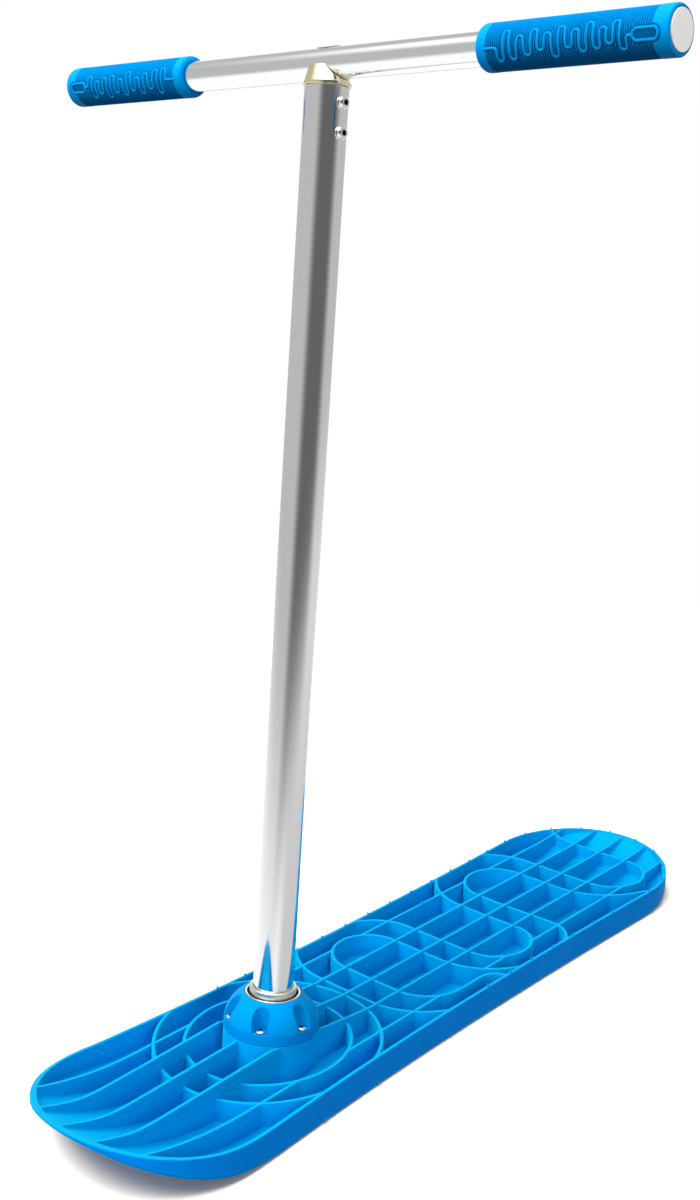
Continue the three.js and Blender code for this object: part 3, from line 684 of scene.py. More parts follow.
def sweep_rib(path, top_at, points, faces):
    """Adds a rib along a path to the lists of points and faces."""
    start = len(points)
    for i, place in enumerate(path):
        before, after = path[max(0, i - 1)], path[min(len(path) - 1, i + 1)]
        along = (after - before).normalized()
        left = Vector((-along.y, along.x))
        half = rib_section(top_at(place.x, place.y), floor_at(place.x))
        section = half + [(-offset, height) for offset, height in half[::-1]]
        points.extend((place.x + left.x * o, place.y + left.y * o, h) for o, h in section)
    width = len(section)
    stations = range(start, len(points), width)
    for a, b in zip(stations, stations[1:]):
        faces.extend(band(a, b, width))
    faces.append(tuple(range(start, start + width))[::-1])
    faces.append(tuple(range(stations[-1], stations[-1] + width)))


def make_ribs(finish):
    """All the ribs in one piece. The middle three carry the crest, and the others keep level."""
    points, faces = [], []
    middle, outer = length_paths()
    rings = [arc_of(ring_x, 0, radius, 0, 2 * math.pi, ring_step) for radius in ring_radii]
    for paths, top_at in ((middle, crest_at), (outer + cross_paths() + rings, rib_top_at)):
        for path in paths:
            for run in inside(path):
                sweep_rib(run, top_at, points, faces)
    # The ribs take the pockets' painted shade all over.
    return skin("deck_ribs", points, faces, finish, "deck", painted_shade_marks=[1] * len(points))


deck_ribs = make_ribs(deck_plastic)

# The pips of the deck
# Short tapered pins of the same plastic on the rims and on a few ribs behind the hub. The
# moulding tool leaves them there, and they are never trimmed.
pip_height = 2.4 * mm
pip_foot, pip_tip = 1.1 * mm, 0.6 * mm
pip_sink = 0.5 * mm
pip_sides = 8
pip_pitch = 31.2 * mm
first_pips = {"far": 137.6 * mm, "near": 5 * mm}
rib_pips = [(3 * mm, -rib_spacing), (27 * mm, 0), (-2.3 * mm, 0), (-105 * mm, -2 * rib_spacing)]


def rim_pips():
    """Places along the rim, from the first pip on the far side round the tail to the near side."""
    ring = [Vector(point) for point in edge_ring(lambda x: rim_wall / 2, rim_at)]
    near = [point for point in ring if point.y >= 0 and point.x < first_pips["near"]]
    far = [point for point in ring if point.y < 0 and point.x < first_pips["far"]]
    line = far + near
    walked, places = 0.0, [line[0]]
    for a, b in zip(line, line[1:]):
        walked += (b - a).length
        if walked > pip_pitch:
            walked -= pip_pitch
            places.append(b.lerp(a, walked / (b - a).length))
    return [tuple(place) for place in places]


def make_pips(finish):
    """All the pins in one piece, on the rims and the ribs."""
    places = [(x, y, rib_top_at(x, y)) for x, y in rib_pips] + rim_pips()
    turns = [2 * math.pi * k / pip_sides for k in range(pip_sides)]
    points, faces = [], []
    for x, y, top in places:
        start = len(points)
        for radius, height in ((pip_foot, -pip_sink), (pip_foot, 0), (pip_tip, pip_height)):
            points += [(x + radius * math.cos(a), y + radius * math.sin(a), top + height)
                       for a in turns]
        foot, collar, tip = (range(first, first + pip_sides)
                             for first in range(start, len(points), pip_sides))
        faces += band(foot[0], collar[0], pip_sides) + band(collar[0], tip[0], pip_sides)
        faces += [tuple(foot)[::-1], tuple(tip)]
    # The pips take the pockets' painted shade all over.
    return skin("deck_pips", points, faces, finish, "deck", painted_shade_marks=[1] * len(points))


deck_pips = make_pips(deck_plastic)

# The boss of the deck
# A round plastic wall, moulded with the tray, that leans back with the post. It carries the hub's
# cover and holds the inserts for its screws.
to_hub = Matrix.Translation((hub_x, 0, hub_height)) @ Matrix.Rotation(-post_rake, 4, "Y")
boss_bore = 27 * mm
boss_sink = 1.5 * mm
boss_edge = 0.5 * mm
side_over_corner = 2.1


def turn(name, profile, finish, body, place=to_hub, steps=96, crease=38):
    """A turned piece: a closed profile of (radius, height) points, spun round the height axis.

    The profile may be a function of the angle. A third value in a point is its painted shade."""
    profile_at = profile if callable(profile) else lambda angle: profile
    points, faces, painted_shade_marks = [], [], []
    for i in range(steps):
        angle = 2 * math.pi * i / steps
        section = profile_at(angle)
        points += [place @ Vector((r * math.cos(angle), r * math.sin(angle), h))
                   for r, h, *_ in section]
        painted_shade_marks += [mark[0] if mark else 0 for _, _, *mark in section]
    width = len(section)
    for i in range(steps):
        a, b = i * width, (i + 1) % steps * width
        faces += [(a + k, b + k, b + (k + 1) % width, a + (k + 1) % width) for k in range(width)]
    return skin(name, points, faces, finish, body, crease, painted_shade_marks if any(painted_shade_marks) else None)


def rounded(profile, radius, steps=4):
    """A closed profile of (radius, height) points with its corners off the axis rounded.

    Where a side is short, the corners at its ends each take a little less than half of it."""
    made = []
    for i, corner in enumerate(profile):
        corner = Vector(corner)
        back, on = Vector(profile[i - 1]) - corner, Vector(profile[(i + 1) % len(profile)]) - corner
        reach = min(radius, back.length / side_over_corner, on.length / side_over_corner)
        if corner.x <= 0 or reach <= 0:
            made.append(tuple(corner))
            continue
        start, end = corner + back.normalized() * reach, corner + on.normalized() * reach
        for k in range(steps + 1):
            t = k / steps
            made.append(tuple(start * (1 - t) ** 2 + corner * 2 * t * (1 - t) + end * t * t))
    return made


def boss_profile(angle):
    """The boss's section for an angle: the wall leans, and its foot ends level in the deck."""
    def foot_at(radius):
        lean = radius * math.cos(angle) * math.sin(post_rake)
        return (floor_wall - boss_sink - hub_height - lean) / math.cos(post_rake)
    corners = [(boss_bore, foot_at(boss_bore)), (boss_radius, foot_at(boss_radius)),
               (boss_radius, boss_top), (boss_bore, boss_top)]
    # The boss takes the pockets' painted shade all over.
    return [(*corner, 1) for corner in rounded(corners, boss_edge)]


deck_boss = turn("deck_boss", boss_profile, deck_plastic, "deck")

# The hub's cover
# A dome moulded in the deck's plastic and screwed down on the boss. Six round-ended slots sink
# into it, one over each screw, and its mouth leaves the post's sleeve free to turn.
cover_bottom = boss_top + 0.3 * mm
cover_shoulder = cover_bottom + 8 * mm
cover_top = boss_top + 29 * mm
dome_bulge = 3 * mm
dome_steps = 34
mouth_radius = 22.3 * mm
mouth_lip = 0.3 * mm
mouth_edge_out, mouth_edge_down = 0.1 * mm, 0.2 * mm
mouth_floor = 35.7 * mm
cover_bore = 21.2 * mm
cover_edge = 0.6 * mm
edge_middle_share = 0.3
screw_count = 6
screw_phase = math.radians(30)
screw_spacing = 2 * math.pi / screw_count
screw_circle = 32.6 * mm
slot_radius = 7 * mm
slot_seat = 19 * mm
slot_blend, slot_blend_reach = 0.3 * mm, 9
seat_half, seat_clear = 0.05 * mm, 0.2 * mm
# The cover is the deck's plastic, but its azure is a darker, shaded copy: painted shade.
cover_azure_shaded = (0.0, 0.215, 0.59)
cover_azure_shaded_deep = (0.0, 0.203, 0.56)


def dome_line():
    """The dome from its shoulder to its mouth, as (radius, height) points."""
    shoulder = Vector((boss_radius, cover_shoulder))
    way = Vector((mouth_radius + mouth_lip, cover_top)) - shoulder
    out = Vector((way.y, -way.x)).normalized()
    shares = [i / dome_steps for i in range(dome_steps + 1)]
    return [tuple(shoulder + way * t + out * 4 * dome_bulge * t * (1 - t)) for t in shares]


def slotted(radius, angle):
    """The dome's radius, or the slot's where one cuts into the dome at this angle."""
    aside = (angle - screw_phase) % screw_spacing
    aside = min(aside, screw_spacing - aside)
    reach = slot_radius ** 2 - (screw_circle * math.sin(aside)) ** 2
    if reach <= 0:
        return radius
    near = screw_circle * math.cos(aside) - math.sqrt(reach)
    if radius > screw_circle * math.cos(aside) + math.sqrt(reach):
        return radius
    if radius >= near + slot_blend_reach * slot_blend:
        return near
    return near - slot_blend * math.log(math.exp((near - radius) / slot_blend) + 1)


def cover_profile():
    """The cover's section for an angle: the dome, drawn in where a slot crosses it."""
    dome = dome_line()
    seat = float(np.interp(slot_seat, [h for r, h in dome], [r for r, h in dome]))
    rows = [(r, h) for r, h in dome if abs(h - slot_seat) > seat_clear]
    low = [(r, h) for r, h in rows if h < slot_seat] + [(seat, slot_seat - seat_half)]
    high = [(seat, slot_seat + seat_half)] + [(r, h) for r, h in rows if h > slot_seat]
    corner = cover_edge * edge_middle_share
    wall = [
        (boss_radius - cover_edge, cover_bottom), (boss_radius - corner, cover_bottom + corner),
        (boss_radius, cover_bottom + cover_edge),
    ]
    crown = [
        (mouth_radius + mouth_edge_out, cover_top), (mouth_radius, cover_top - mouth_edge_down),
        (mouth_radius, mouth_floor), (cover_bore, mouth_floor), (cover_bore, cover_bottom),
    ]
    return lambda angle: wall + low + [(slotted(r, angle), h) for r, h in high] + crown


cover_plastic = moulded_plastic(
    "azure cover plastic", cover_azure_shaded, cover_azure_shaded_deep, grain=0.25, gloss=(0.34, 0.46), bloom=0.3)
hub_cover = turn("dome_cover", cover_profile(), cover_plastic, "deck", steps=720, crease=32)
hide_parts("hub_cover")

# The ring in the cover's mouth
# A thin turned ring of polished steel that lines the hole round the post's sleeve. It is pressed
# into the mouth of the cover.
ring_outer = 22 * mm
ring_wall = 1.8 * mm
ring_bottom = cover_top - 3 * mm
ring_top = cover_top + 0.3 * mm
ring_edge = 0.5 * mm
steel_tone = (0.95, 0.95, 0.95)
tool_mark_height = 0.03 * mm


def worked_metal(name, colour, gloss, grain=(1.0, 1.0, 1.0), scale=260.0, depth=0.12, shade=0.9,
                 painted_shade=None):
    """Bare metal with fine tool marks: an uneven gloss and tone, and a shallow grain."""
    finish, tree, place = blank_finish(name)
    lean = {"Vector": place, "Rotation": (0, post_rake, 0), "Scale": grain}
    upright = node_of(tree, "ShaderNodeMapping", **lean).outputs[0]
    marks = clouds(tree, upright, scale, detail=5.0, roughness=0.6)
    worn = between(tree, marks, *cloud)
    shaded = [part * shade for part in colour]
    # Marked places take the painted shade colour, where one is given.
    tone = tone_painted_shade(tree, blend_tones(tree, worn, (*shaded, 1), (*colour, 1)), painted_shade)
    rough = between(tree, marks, *cloud, *gloss)
    bump = node_of(tree, "ShaderNodeBump", Strength=depth, Distance=tool_mark_height, Height=marks)
    shader = node_of(
        tree, "ShaderNodeBsdfPrincipled", Base_Color=tone, Roughness=rough,
        Normal=bump.outputs[0], Metallic=1.0)
    node_of(tree, "ShaderNodeOutputMaterial", Surface=shader.outputs[0])
    return finish


def tube_profile(outer, wall, bottom, top, corner, steps):
    """A tube's section with its four corners rounded."""
    inner = outer - wall
    return rounded([(inner, bottom), (outer, bottom), (outer, top), (inner, top)], corner, steps)


polished_steel = worked_metal("polished steel", steel_tone, gloss=(0.1, 0.2))
ring_profile = tube_profile(ring_outer, ring_wall, ring_bottom, ring_top, ring_edge, steps=4)
mouth_ring = turn("mouth_ring", ring_profile, polished_steel, "deck")
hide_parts("cover_mouth_ring")

# The cover's screws
# Six zinc plated steel button heads with a hexagonal socket. Each sits on the seat of its slot
# and goes down through the cover into a brass insert in the boss.
screw_head = 4.2 * mm
screw_head_height = 2.2 * mm
screw_shank = 1.9 * mm
screw_tip = 2 * mm
screw_socket = 2.9 * mm
screw_socket_depth = 1.4 * mm
screw_seat = slot_seat + 0.3 * mm
button_side, button_flat = 0.15, 1.25
button_foot, button_rise = 0.25, 0.75
button_start, button_steps = math.pi * 0.09, 8
shank_tip, shank_taper = 0.7, 0.3
socket_rim, lead_across, lead_height = 0.96, 0.995, 0.88
socket_floor = [(0.97, 1), (0.5, 1.15), (0, 1.2)]
zinc_tone = (0.92, 0.93, 0.94)
zinc_shadow = (0.09, 0.09, 0.1)


def hexagon_reach(across, angle):
    """The distance from the middle of a hexagon to its side, for its width across the flats."""
    sector = math.pi / 3
    return across / 2 / math.cos((angle + sector / 2) % sector - sector / 2)


def button_profile(head, height, shank, reach, socket, depth):
    """A button head's section for an angle: shank, domed head and socket, from 0 under the head."""
    taper = shank * shank_taper - reach
    stem = [(0, -reach), (shank * shank_tip, -reach), (shank, taper), (shank, 0)]
    side, flat = height * button_side, socket / 2 * button_flat
    dome = [(head - side, 0), (head, side)]
    for i in range(button_steps + 1):
        a = button_start + (math.pi / 2 - button_start) * i / button_steps
        across = flat + (head - flat) * math.cos(a) / math.cos(button_start)
        dome.append((across, height * (button_foot + button_rise * math.sin(a))))

    def at(angle):
        hexagon = hexagon_reach(socket, angle)
        # The socket's lead and well are marked for painted shade.
        rim = [(hexagon, height * socket_rim), (hexagon * lead_across, height * lead_height, 1)]
        well = [(hexagon * wide, height - depth * deep, 1) for wide, deep in socket_floor]
        return stem + dome + rim + well
    return at


# Marked sockets are painted near black: painted shade, not a colour of the steel.
fastener_steel = worked_metal(
    "zinc plated steel", zinc_tone, gloss=(0.1, 0.2), scale=900.0, painted_shade=zinc_shadow)
screw_section = button_profile(
    screw_head, screw_head_height, screw_shank, screw_seat - screw_tip,
    screw_socket, screw_socket_depth)
for i in range(screw_count):
    angle = screw_phase + i * screw_spacing
    across, aside = screw_circle * math.cos(angle), screw_circle * math.sin(angle)
    seat = to_hub @ Matrix.Translation((across, aside, screw_seat))
    screw = turn(f"cover_button_{i + 1}", screw_section, fastener_steel, "deck", seat, steps=48)
    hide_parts(f"cover_screw_{i + 1}")

# The inserts and the bushes
# Turned brass inserts take the cover's screws. A black acetal washer under the post's foot and a
# flanged collar round its sleeve are the bearings. All sit in the hub and keep their plain shapes.
brass_tone = (0.72, 0.5, 0.2)
acetal_tone = (0.012, 0.013, 0.015)
acetal_deep = (0.008, 0.009, 0.01)


def refinish(node, finish):
    """Gives a node of the frame its finish."""
    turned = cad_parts[node]
    turned.data.materials.clear()
    turned.data.materials.append(finish)


insert_brass = worked_metal("turned brass", brass_tone, gloss=(0.22, 0.4), grain=(1, 1, 6))
for i in range(screw_count):
    refinish(f"cover_insert_{i + 1}", insert_brass)
bush_acetal = moulded_plastic("black acetal", acetal_tone, acetal_deep, grain=0.2)
refinish("thrust_bush", bush_acetal)
refinish("collar_bush", bush_acetal)

# The post's foot
# A sleeve turned from brass toned steel, which the post stands in. Its flange turns between the
# bushes, and its chamfered top stands a little proud of the cover.
flange_bottom = -10.1 * mm
flange_top = flange_bottom + 5 * mm
flange_radius = 26.4 * mm
foot_floor = flange_bottom + 3 * mm
sleeve_outer = 18.6 * mm
sleeve_bore = 16.2 * mm
sleeve_top = cover_top + 5.6 * mm
sleeve_chamfer = 0.7 * mm
sleeve_edge = 0.25 * mm
sleeve_tone = (0.97, 0.92, 0.76)
sleeve_profile = [
    (0, flange_bottom), (flange_radius, flange_bottom), (flange_radius, flange_top),
    (sleeve_outer, flange_top), (sleeve_outer, sleeve_top - sleeve_chamfer),
    (sleeve_outer - sleeve_chamfer, sleeve_top), (sleeve_bore, sleeve_top),
    (sleeve_bore, foot_floor), (0, foot_floor),
]
sleeve_gold = worked_metal(
    "brass toned steel", sleeve_tone, gloss=(0.26, 0.38), grain=(1, 1, 8), scale=180.0)
sleeve_section = rounded(sleeve_profile, sleeve_edge, steps=2)
post_sleeve = turn("post_sleeve", sleeve_section, sleeve_gold, "handlebar", crease=30)
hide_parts("post_foot")

# The post
# A drawn aluminium tube, polished, with faint lines left along it by the drawing. It is bonded
# into the sleeve and leans back with the hub.
post_radius = 15.9 * mm
post_wall = 2.4 * mm
post_bottom = foot_floor + 0.3 * mm
post_top = post_bottom + 726.5 * mm
tube_edge = 0.3 * mm
aluminium_tone = (0.93, 0.935, 0.94)
aluminium_drawing = {"gloss": (0.07, 0.13), "scale": 900.0, "depth": 0.05, "shade": 0.97}
drawn_out = 0.012
post_aluminium = worked_metal(
    "drawn aluminium", aluminium_tone, grain=(1, 1, drawn_out), **aluminium_drawing)
post_profile = tube_profile(post_radius, post_wall, post_bottom, post_top, tube_edge, steps=2)
post = turn("post", post_profile, post_aluminium, "handlebar", steps=160)
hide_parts("post_tube")

# The cap on the post
# A pale gold casting: a spigot bolted inside the tube, a lip on the tube's end, and a cone coped
# to fit round the underside of the crossbar.
cap_gap = 0.3 * mm
cap_lip = post_radius + 1.3 * mm
cap_lip_height = 3 * mm
cap_lip_edge = 0.3 * mm
cap_lip_slope_in, cap_lip_slope_down = 0.25 * mm, 0.8 * mm
cap_cone_foot = post_radius + 0.65 * mm
cap_cone_height = 10.6 * mm
cap_cone_top = 13.5 * mm
cap_edge = 0.5 * mm
cap_edge_steps = [(0.2, 0.8), (-0.3, 0.2)]
cone_steps, cope_steps, cone_halvings = 6, 8, 30
spigot_length = 45 * mm
bar_radius = 11.1 * mm
bar_height = post_top + 15.8 * mm
casting_tone = (1.0, 0.93, 0.62)


def cap_profile():
    """The cap's section for an angle: spigot, lip, and the cone up to where the bar cuts it off."""
    lip_bottom = post_top + cap_gap
    lip_top = lip_bottom + cap_lip_height
    spigot = post_radius - post_wall - cap_gap
    cope = bar_radius + cap_gap
    foot = lip_bottom - spigot_length
    stem = [
        (0, foot), (spigot, foot), (spigot, lip_bottom),
        (cap_lip - cap_lip_edge, lip_bottom), (cap_lip, lip_bottom + cap_lip_edge),
        (cap_lip, lip_top - cap_lip_slope_down),
        (cap_lip - cap_lip_slope_in, lip_top - cap_lip_edge),
    ]

    def ceiling(radius, angle):
        x = radius * math.cos(angle)
        under_bar = bar_height - math.sqrt(cope ** 2 - x ** 2) if abs(x) < cope else bar_height
        return min(lip_top + cap_cone_height, under_bar)

    def cone_at(share):
        radius = cap_cone_foot + (cap_cone_top - cap_cone_foot) * share
        return radius, lip_top + cap_cone_height * share

    def at(angle):
        low, high = 0.0, 1.0
        for _ in range(cone_halvings):
            middle = (low + high) / 2
            radius, height = cone_at(middle)
            low, high = (middle, high) if height < ceiling(radius, angle) else (low, middle)
        radius, height = cone_at(low)
        cone = [cone_at(low * k / cone_steps) for k in range(cone_steps)]
        drop = min(cap_edge, height - lip_top)
        cone += [(radius + drop * out, height - drop * down) for out, down in cap_edge_steps]
        top = radius - drop
        cone.append((top, min(height, ceiling(top, angle))))
        inner = [top * (1 - k / cope_steps) for k in range(1, cope_steps + 1)]
        return stem + cone + [(inward, ceiling(inward, angle)) for inward in inner]
    return at


cap_gold = worked_metal("pale gold casting", casting_tone, gloss=(0.1, 0.18), scale=320.0)
stem_cap = turn("stem_casting", cap_profile(), cap_gold, "handlebar", steps=144, crease=30)
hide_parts("stem_cap")

# The bolts of the post
# Two zinc plated button heads on the rider's left, one above the other. They go through the tube
# into the cap's spigot.
bolt_head = 4.8 * mm
bolt_head_height = 3.3 * mm
bolt_shank = 3 * mm
bolt_reach = 12.6 * mm
bolt_socket = 4 * mm
bolt_socket_depth = 2 * mm
bolt_seat = post_radius + 0.15 * mm
bolt_drops = {"upper": 11 * mm, "lower": 31.5 * mm}
bolt_section = button_profile(
    bolt_head, bolt_head_height, bolt_shank, bolt_reach, bolt_socket, bolt_socket_depth)
for name, drop in bolt_drops.items():
    to_seat = to_hub @ Matrix.Translation((0, bolt_seat, post_top - drop))
    outward = to_seat @ Matrix.Rotation(-math.pi / 2, 4, "X")
    bolt = turn(
        f"post_button_{name}", bolt_section, fastener_steel, "handlebar", outward, steps=60)
    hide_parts(f"stem_bolt_{name}")

# The crossbar
# A drawn aluminium tube, polished like the post and laid in the cap's cope. One low bolt goes
# down through it into the cap.
bar_wall = 2 * mm
bar_half = 277 * mm
bar_bolt_head = 11 * mm
bar_bolt_across = 5.2 * mm
bar_bolt_height = 0.6 * mm
bar_bolt_side = 0.4 * mm
bar_bolt_reach = 31 * mm
bar_bolt_socket = 3.2 * mm
bar_bolt_well = 0.1 * mm
bar_bolt_shadow = 0.7
bar_bolt_top = (0.8, 0.5, 0.2, 0)
bar_bolt_floor = 0.97
to_bar = to_hub @ Matrix.Translation((0, 0, bar_height))


def out_along_bar(side):
    """The place of a turned piece that points from the bar's middle to its end on one side."""
    return to_bar @ Matrix.Rotation(-side * math.pi / 2, 4, "X")


bar_aluminium = worked_metal(
    "drawn aluminium of the bar", aluminium_tone, grain=(1, drawn_out, 1), **aluminium_drawing)
bar_profile = tube_profile(bar_radius, bar_wall, -bar_half, bar_half, tube_edge, steps=2)
to_left = out_along_bar(1)
crossbar = turn("cross_tube", bar_profile, bar_aluminium, "handlebar", to_left, steps=144)
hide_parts("crossbar")


def bar_bolt_profile(angle):
    """The low head of the bar's bolt for an angle: a long dome, bent to lie on the round bar."""
    def lying(radius, lift):
        across = radius * math.cos(angle)
        return radius, math.sqrt(max(0, bar_radius ** 2 - across ** 2)) + lift

    long, wide = bar_bolt_head * math.cos(angle), bar_bolt_across * math.sin(angle)
    oval = bar_bolt_head * bar_bolt_across / math.hypot(long, wide)
    hexagon = hexagon_reach(bar_bolt_socket, angle)
    foot, floor = bar_radius - bar_bolt_reach, bar_radius + bar_bolt_well
    stem = [(0, foot), (bolt_shank, foot), (bolt_shank, bar_radius - bar_wall)]
    # The head's side, where it meets the bar, and its socket floor are marked for painted shade.
    side = [(*lying(oval, lift), bar_bolt_shadow) for lift in (0, bar_bolt_side)]
    reaches = [hexagon + (oval - hexagon) * share for share in bar_bolt_top]
    dome = [lying(reach, bar_bolt_height) for reach in reaches]
    return stem + side + dome + [(hexagon * bar_bolt_floor, floor, 1), (0, floor, 1)]


bar_bolt = turn("bar_button", bar_bolt_profile, fastener_steel, "handlebar", to_bar, steps=60)
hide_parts("bar_bolt")

# The grips
# Blue rubber sleeves pushed on the bar, with a smooth collar at each end and a finely ribbed
# barrel. A raised line winds along the front to a blank oval pad, and the inner end is flared.
grip_length = 140.5 * mm
grip_radius = 15.2 * mm
barrel_radius = 15.1 * mm
grip_bore = 11.3 * mm
grip_opening = 11.5 * mm
grip_nose = 3.4 * mm
grip_mouth = 12.9 * mm
grip_recess = 137.3 * mm
grip_edge = 0.3 * mm
mouth_land = 0.35 * mm
flare_depth = 2 * mm
mouth_flare_steps, bullnose_steps = 8, 6
inner_collar = 8.8 * mm
outer_collar = 10.8 * mm
collar_slope, collar_clear, collar_fade = 0.7 * mm, 0.8 * mm, 0.5 * mm
grip_end = bar_half + 3.2 * mm
fine_rib_pitch = 1.7 * mm
fine_rib_depth = 0.9 * mm
fine_rib_steps = 6
rows_before_barrel, rows_after_barrel = 1.2 * mm, 5.5 * mm
front_half, front_columns, back_columns = 13.8 * mm, 76, 52
bead_half = 0.95 * mm
bead_height = 0.4 * mm
bead_sink = 0.3 * mm
groove_offset, groove_half = 0.5 * mm, 0.6 * mm
wave_turn = math.radians(14)
wave_lead = 1.5 * mm
wave_first = 20.2 * mm
wave_bend = 2.4 * mm
wave_bend_step, pad_bend_step = math.radians(15), math.radians(10)
wave_close = [(0, 0.4), (0.3, 0)]
wave_steps = [length * mm for length in (9.9, 11.1, 10, 10.4, 10.1, 10, 9.9, 9, 9.1)]
wave_down = [length * mm for length in (8.9, 8.4, 6.3, 3.9, 9.1, 4, 7.2, 6.2, 3.8, 8.3)]
wave_up = [length * mm for length in (10.1, 6, 9.2, 6.1, 9.2, 6.6, 10.1, 6.2, 9.4)]
pad_start = 116 * mm
pad_end = 133.4 * mm
pad_half = 3.6 * mm
pad_join = 0.2 * mm
pad_surround = 2 * mm
pad_sunk_share = 0.7
grip_blue = (0.0, 0.25, 0.66)
grip_blue_deep = (0.0, 0.235, 0.62)
# Painted shade in the grooves and at the raised line's edges, deeper on the underside.
grip_groove_painted_shade = (0.0, 0.03, 0.1)
bead_edge_painted_shade = 0.35
painted_shade_sides, painted_shade_shares = [-0.7, 0, 0.6], [0.5, 0.85, 1]


def wave_line():
    """The raised line, unrolled: along the grip and round it, with rounded turns."""
    bend = wave_bend
    start = wave_first - 2 * bend
    line = [(inner_collar - wave_lead, 0.0), (start, 0.0)]
    line += arc_of(start, bend, bend, -math.pi / 2, 0)
    middle = wave_first
    for down, step, up in zip(wave_down, wave_steps, wave_up):
        line += arc_of(middle, down - bend, bend, math.pi, 0, wave_bend_step)
        line += arc_of(middle + step / 2, bend - up, bend, -math.pi, 0, wave_bend_step)
        middle += step
    line += arc_of(middle, wave_down[-1] - bend, bend, math.pi, 0, wave_bend_step)
    close = [(middle + bend + bend * on, bend * down) for on, down in wave_close]
    return line + close + [(pad_start + pad_join, 0)]


def pad_line():
    """The edge of the oval pad, unrolled in the same way."""
    half_turn = math.pi / 2
    right = arc_of(pad_end - pad_half, 0, pad_half, -half_turn, half_turn, pad_bend_step)
    left = arc_of(pad_start + pad_half, 0, pad_half, half_turn, 3 * half_turn, pad_bend_step)
    return right + left + right[:1]


def distance_to(line, along, around):
    """The distance from every point of a grid to a line of points."""
    best = np.full(along.shape, np.inf)
    for (ax, ay), (bx, by) in zip(line, line[1:]):
        dx, dy = bx - ax, by - ay
        length = dx * dx + dy * dy
        if length == 0:
            continue
        share = np.clip(((along - ax) * dx + (around - ay) * dy) / length, 0, 1)
        best = np.minimum(best, np.hypot(along - ax - share * dx, around - ay - share * dy))
    return best


def grip_grid():
    """Rows along the outside of the grip, and the angle of every column, finer in front."""
    first, last = inner_collar - rows_before_barrel, grip_length - rows_after_barrel
    rows = np.arange(first, last, fine_rib_pitch / fine_rib_steps)
    front = np.linspace(-front_half, front_half, front_columns) / barrel_radius
    back = np.linspace(front[-1], 2 * math.pi + front[0], back_columns)[1:-1]
    return rows, np.concatenate([front, back])


def grip_surface(along, angle, low):
    """The radius of the grip's barrel at every point of a grid, and its painted shade there."""
    around = np.where(angle > math.pi, angle - 2 * math.pi, angle) * barrel_radius
    ends = np.minimum(along - inner_collar, grip_length - outer_collar - along)
    rise = 1 - np.clip(ends / collar_slope, 0, 1)
    base = barrel_radius + (grip_radius - barrel_radius) * rise
    rib = 0.5 - 0.5 * np.cos(2 * math.pi * (along - inner_collar) / fine_rib_pitch)
    rib = rib * np.clip(ends / collar_clear, 0, 1)
    to_pad = distance_to(pad_line(), along, around)
    reach = np.minimum(to_pad, distance_to(wave_line(), along, around))
    past_middle = np.abs(along - (pad_start + pad_end) / 2) - (pad_end - pad_start) / 2 + pad_half
    in_pad = np.hypot(np.maximum(0, past_middle), around) < pad_half
    rib = np.where(in_pad, pad_sunk_share, rib)
    on_barrel = np.where(to_pad < pad_surround, 1, np.clip(ends / collar_fade, 0, 1))
    from_groove = np.abs(reach - bead_half - groove_offset)
    groove = np.clip(1 - from_groove / groove_half, 0, 1) * on_barrel
    surface = base - fine_rib_depth * np.maximum(rib, groove)
    bead = np.sqrt(np.clip(1 - (reach / bead_half) ** 2, 0, 1))
    raised = reach < bead_half
    radius = np.where(raised, base - bead_sink + (bead_height + bead_sink) * bead, surface)
    # Painted shade: the grooves are darker on the grip's underside and lighter on its top.
    underside_painted_shade = np.where(in_pad, 1, np.interp(low, painted_shade_sides, painted_shade_shares))
    return radius, np.where(raised, bead_edge_painted_shade * (1 - bead), np.maximum(rib, groove) * underside_painted_shade)


def grip_ends(rows):
    """The smooth rings of the grip before its barrel and after it, as (radius, place along)."""
    bore = [(grip_bore, grip_recess), (grip_bore, flare_depth),
            (grip_opening - grip_edge, grip_edge)]
    wide = grip_radius - grip_opening
    nose = [(grip_opening + wide * out, grip_nose * along)
            for along, out in quarter(mouth_flare_steps)]
    bull = grip_radius - grip_mouth - mouth_land
    bullnose = [(grip_radius - bull * inward, grip_length - bull * (1 - on))
                for inward, on in quarter(bullnose_steps)]
    mouth = [(grip_mouth, grip_length - grip_edge), (grip_mouth, grip_recess)]
    before = bore + nose + [(grip_radius, rows[0] - grip_edge)]
    return before, [(grip_radius, rows[-1] + grip_edge)] + bullnose + mouth


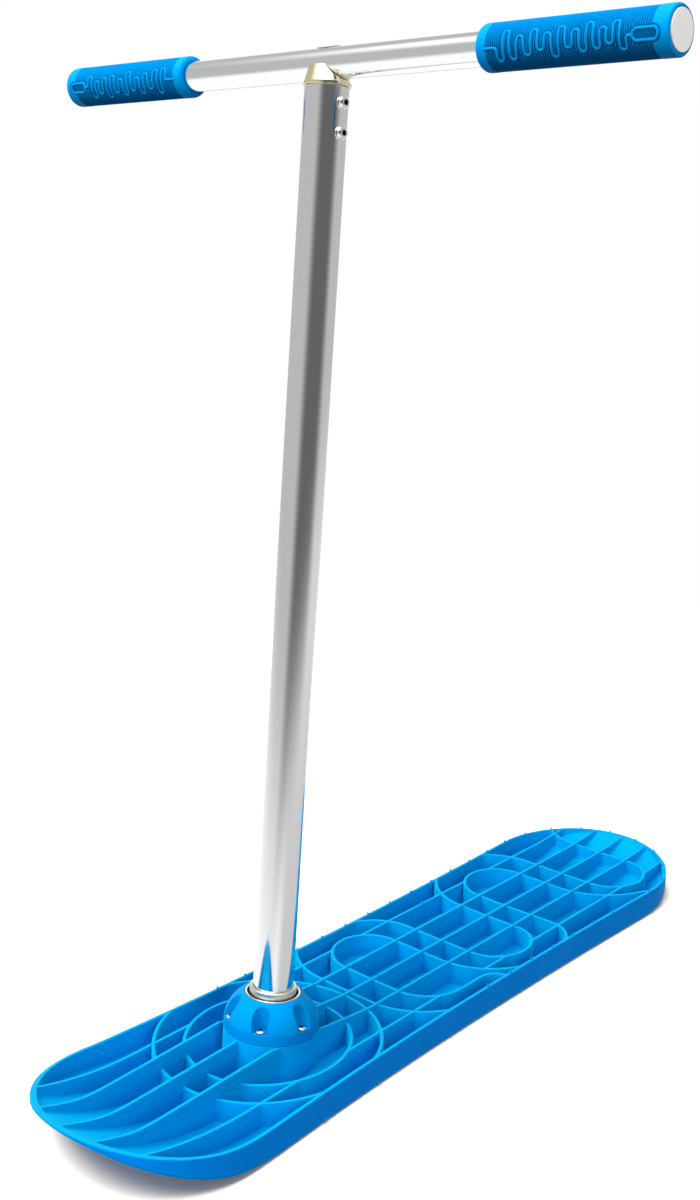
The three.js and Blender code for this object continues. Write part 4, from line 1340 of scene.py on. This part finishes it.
def make_grip(name, side, finish):
    """A grip for one side of the bar, with its raised line turned to the front."""
    rows, angles = grip_grid()
    around = angles + side * wave_turn
    along, across = np.meshgrid(rows, angles, indexing="ij")
    radii, depths = grip_surface(along, across, side * np.sin(across + side * wave_turn))
    before, after = ([([radius] * len(angles), place, [0] * len(angles)) for radius, place in ends]
                     for ends in grip_ends(rows))
    rings = before + list(zip(radii, rows, depths)) + after
    place = out_along_bar(side) @ Matrix.Translation((0, 0, grip_end - grip_length))
    points, painted_shade_marks = [], []
    for reaches, height, marks in rings:
        points += [place @ Vector((reach * math.cos(angle), reach * math.sin(angle), height))
                   for reach, angle in zip(reaches, around)]
        painted_shade_marks += list(marks)
    count = len(angles)
    faces = []
    for level in range(len(rings)):
        faces += band(level * count, (level + 1) % len(rings) * count, count)
    return skin(name, points, faces, finish, "handlebar", crease=60, painted_shade_marks=painted_shade_marks)


grip_rubber = moulded_plastic(
    "blue grip rubber", grip_blue, grip_blue_deep, grain=0.3, gloss=(0.5, 0.6), painted_shade=grip_groove_painted_shade)
for name, side in (("left", 1), ("right", -1)):
    grip = make_grip(f"{name}_grip", side, grip_rubber)
    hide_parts(f"grip_{name}")

# The end plugs
# White plastic plugs pressed into the bar's ends. Each has a flat round head in the mouth of the
# grip and a hollow stem with a barb that holds in the tube.
plug_head = 12.45 * mm
plug_head_height = 3.5 * mm
plug_seat = bar_half + 0.3 * mm
plug_top = plug_seat + plug_head_height
plug_stem = 8.55 * mm
plug_bore = 6.95 * mm
plug_end = plug_seat - 15 * mm
plug_lead_in, plug_lead_length = 0.4 * mm, 1 * mm
barb_start, barb_end, barb_height = plug_seat - 4 * mm, plug_seat - 2 * mm, 0.25 * mm
plug_edge, plug_edge_middle = 0.5 * mm, 0.15 * mm
plug_white = (0.92, 0.92, 0.91)
plug_white_deep = (0.89, 0.89, 0.88)
plug_profile = [
    (plug_bore, plug_end), (plug_stem - plug_lead_in, plug_end),
    (plug_stem, plug_end + plug_lead_length), (plug_stem, barb_start),
    (plug_stem + barb_height, barb_end), (plug_stem, barb_end), (plug_stem, plug_seat),
    (plug_head, plug_seat), (plug_head, plug_top - plug_edge),
    (plug_head - plug_edge_middle, plug_top - plug_edge_middle), (plug_head - plug_edge, plug_top),
    (0, plug_top), (0, plug_seat), (plug_bore, plug_seat),
]
plug_plastic = moulded_plastic(
    "white plug plastic", plug_white, plug_white_deep, grain=0.2, gloss=(0.35, 0.45))
for name, side in (("left", 1), ("right", -1)):
    plug = turn(
        f"{name}_end_plug", plug_profile, plug_plastic, "handlebar", out_along_bar(side),
        steps=72, crease=30)
    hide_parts(f"bar_end_plug_{name}")
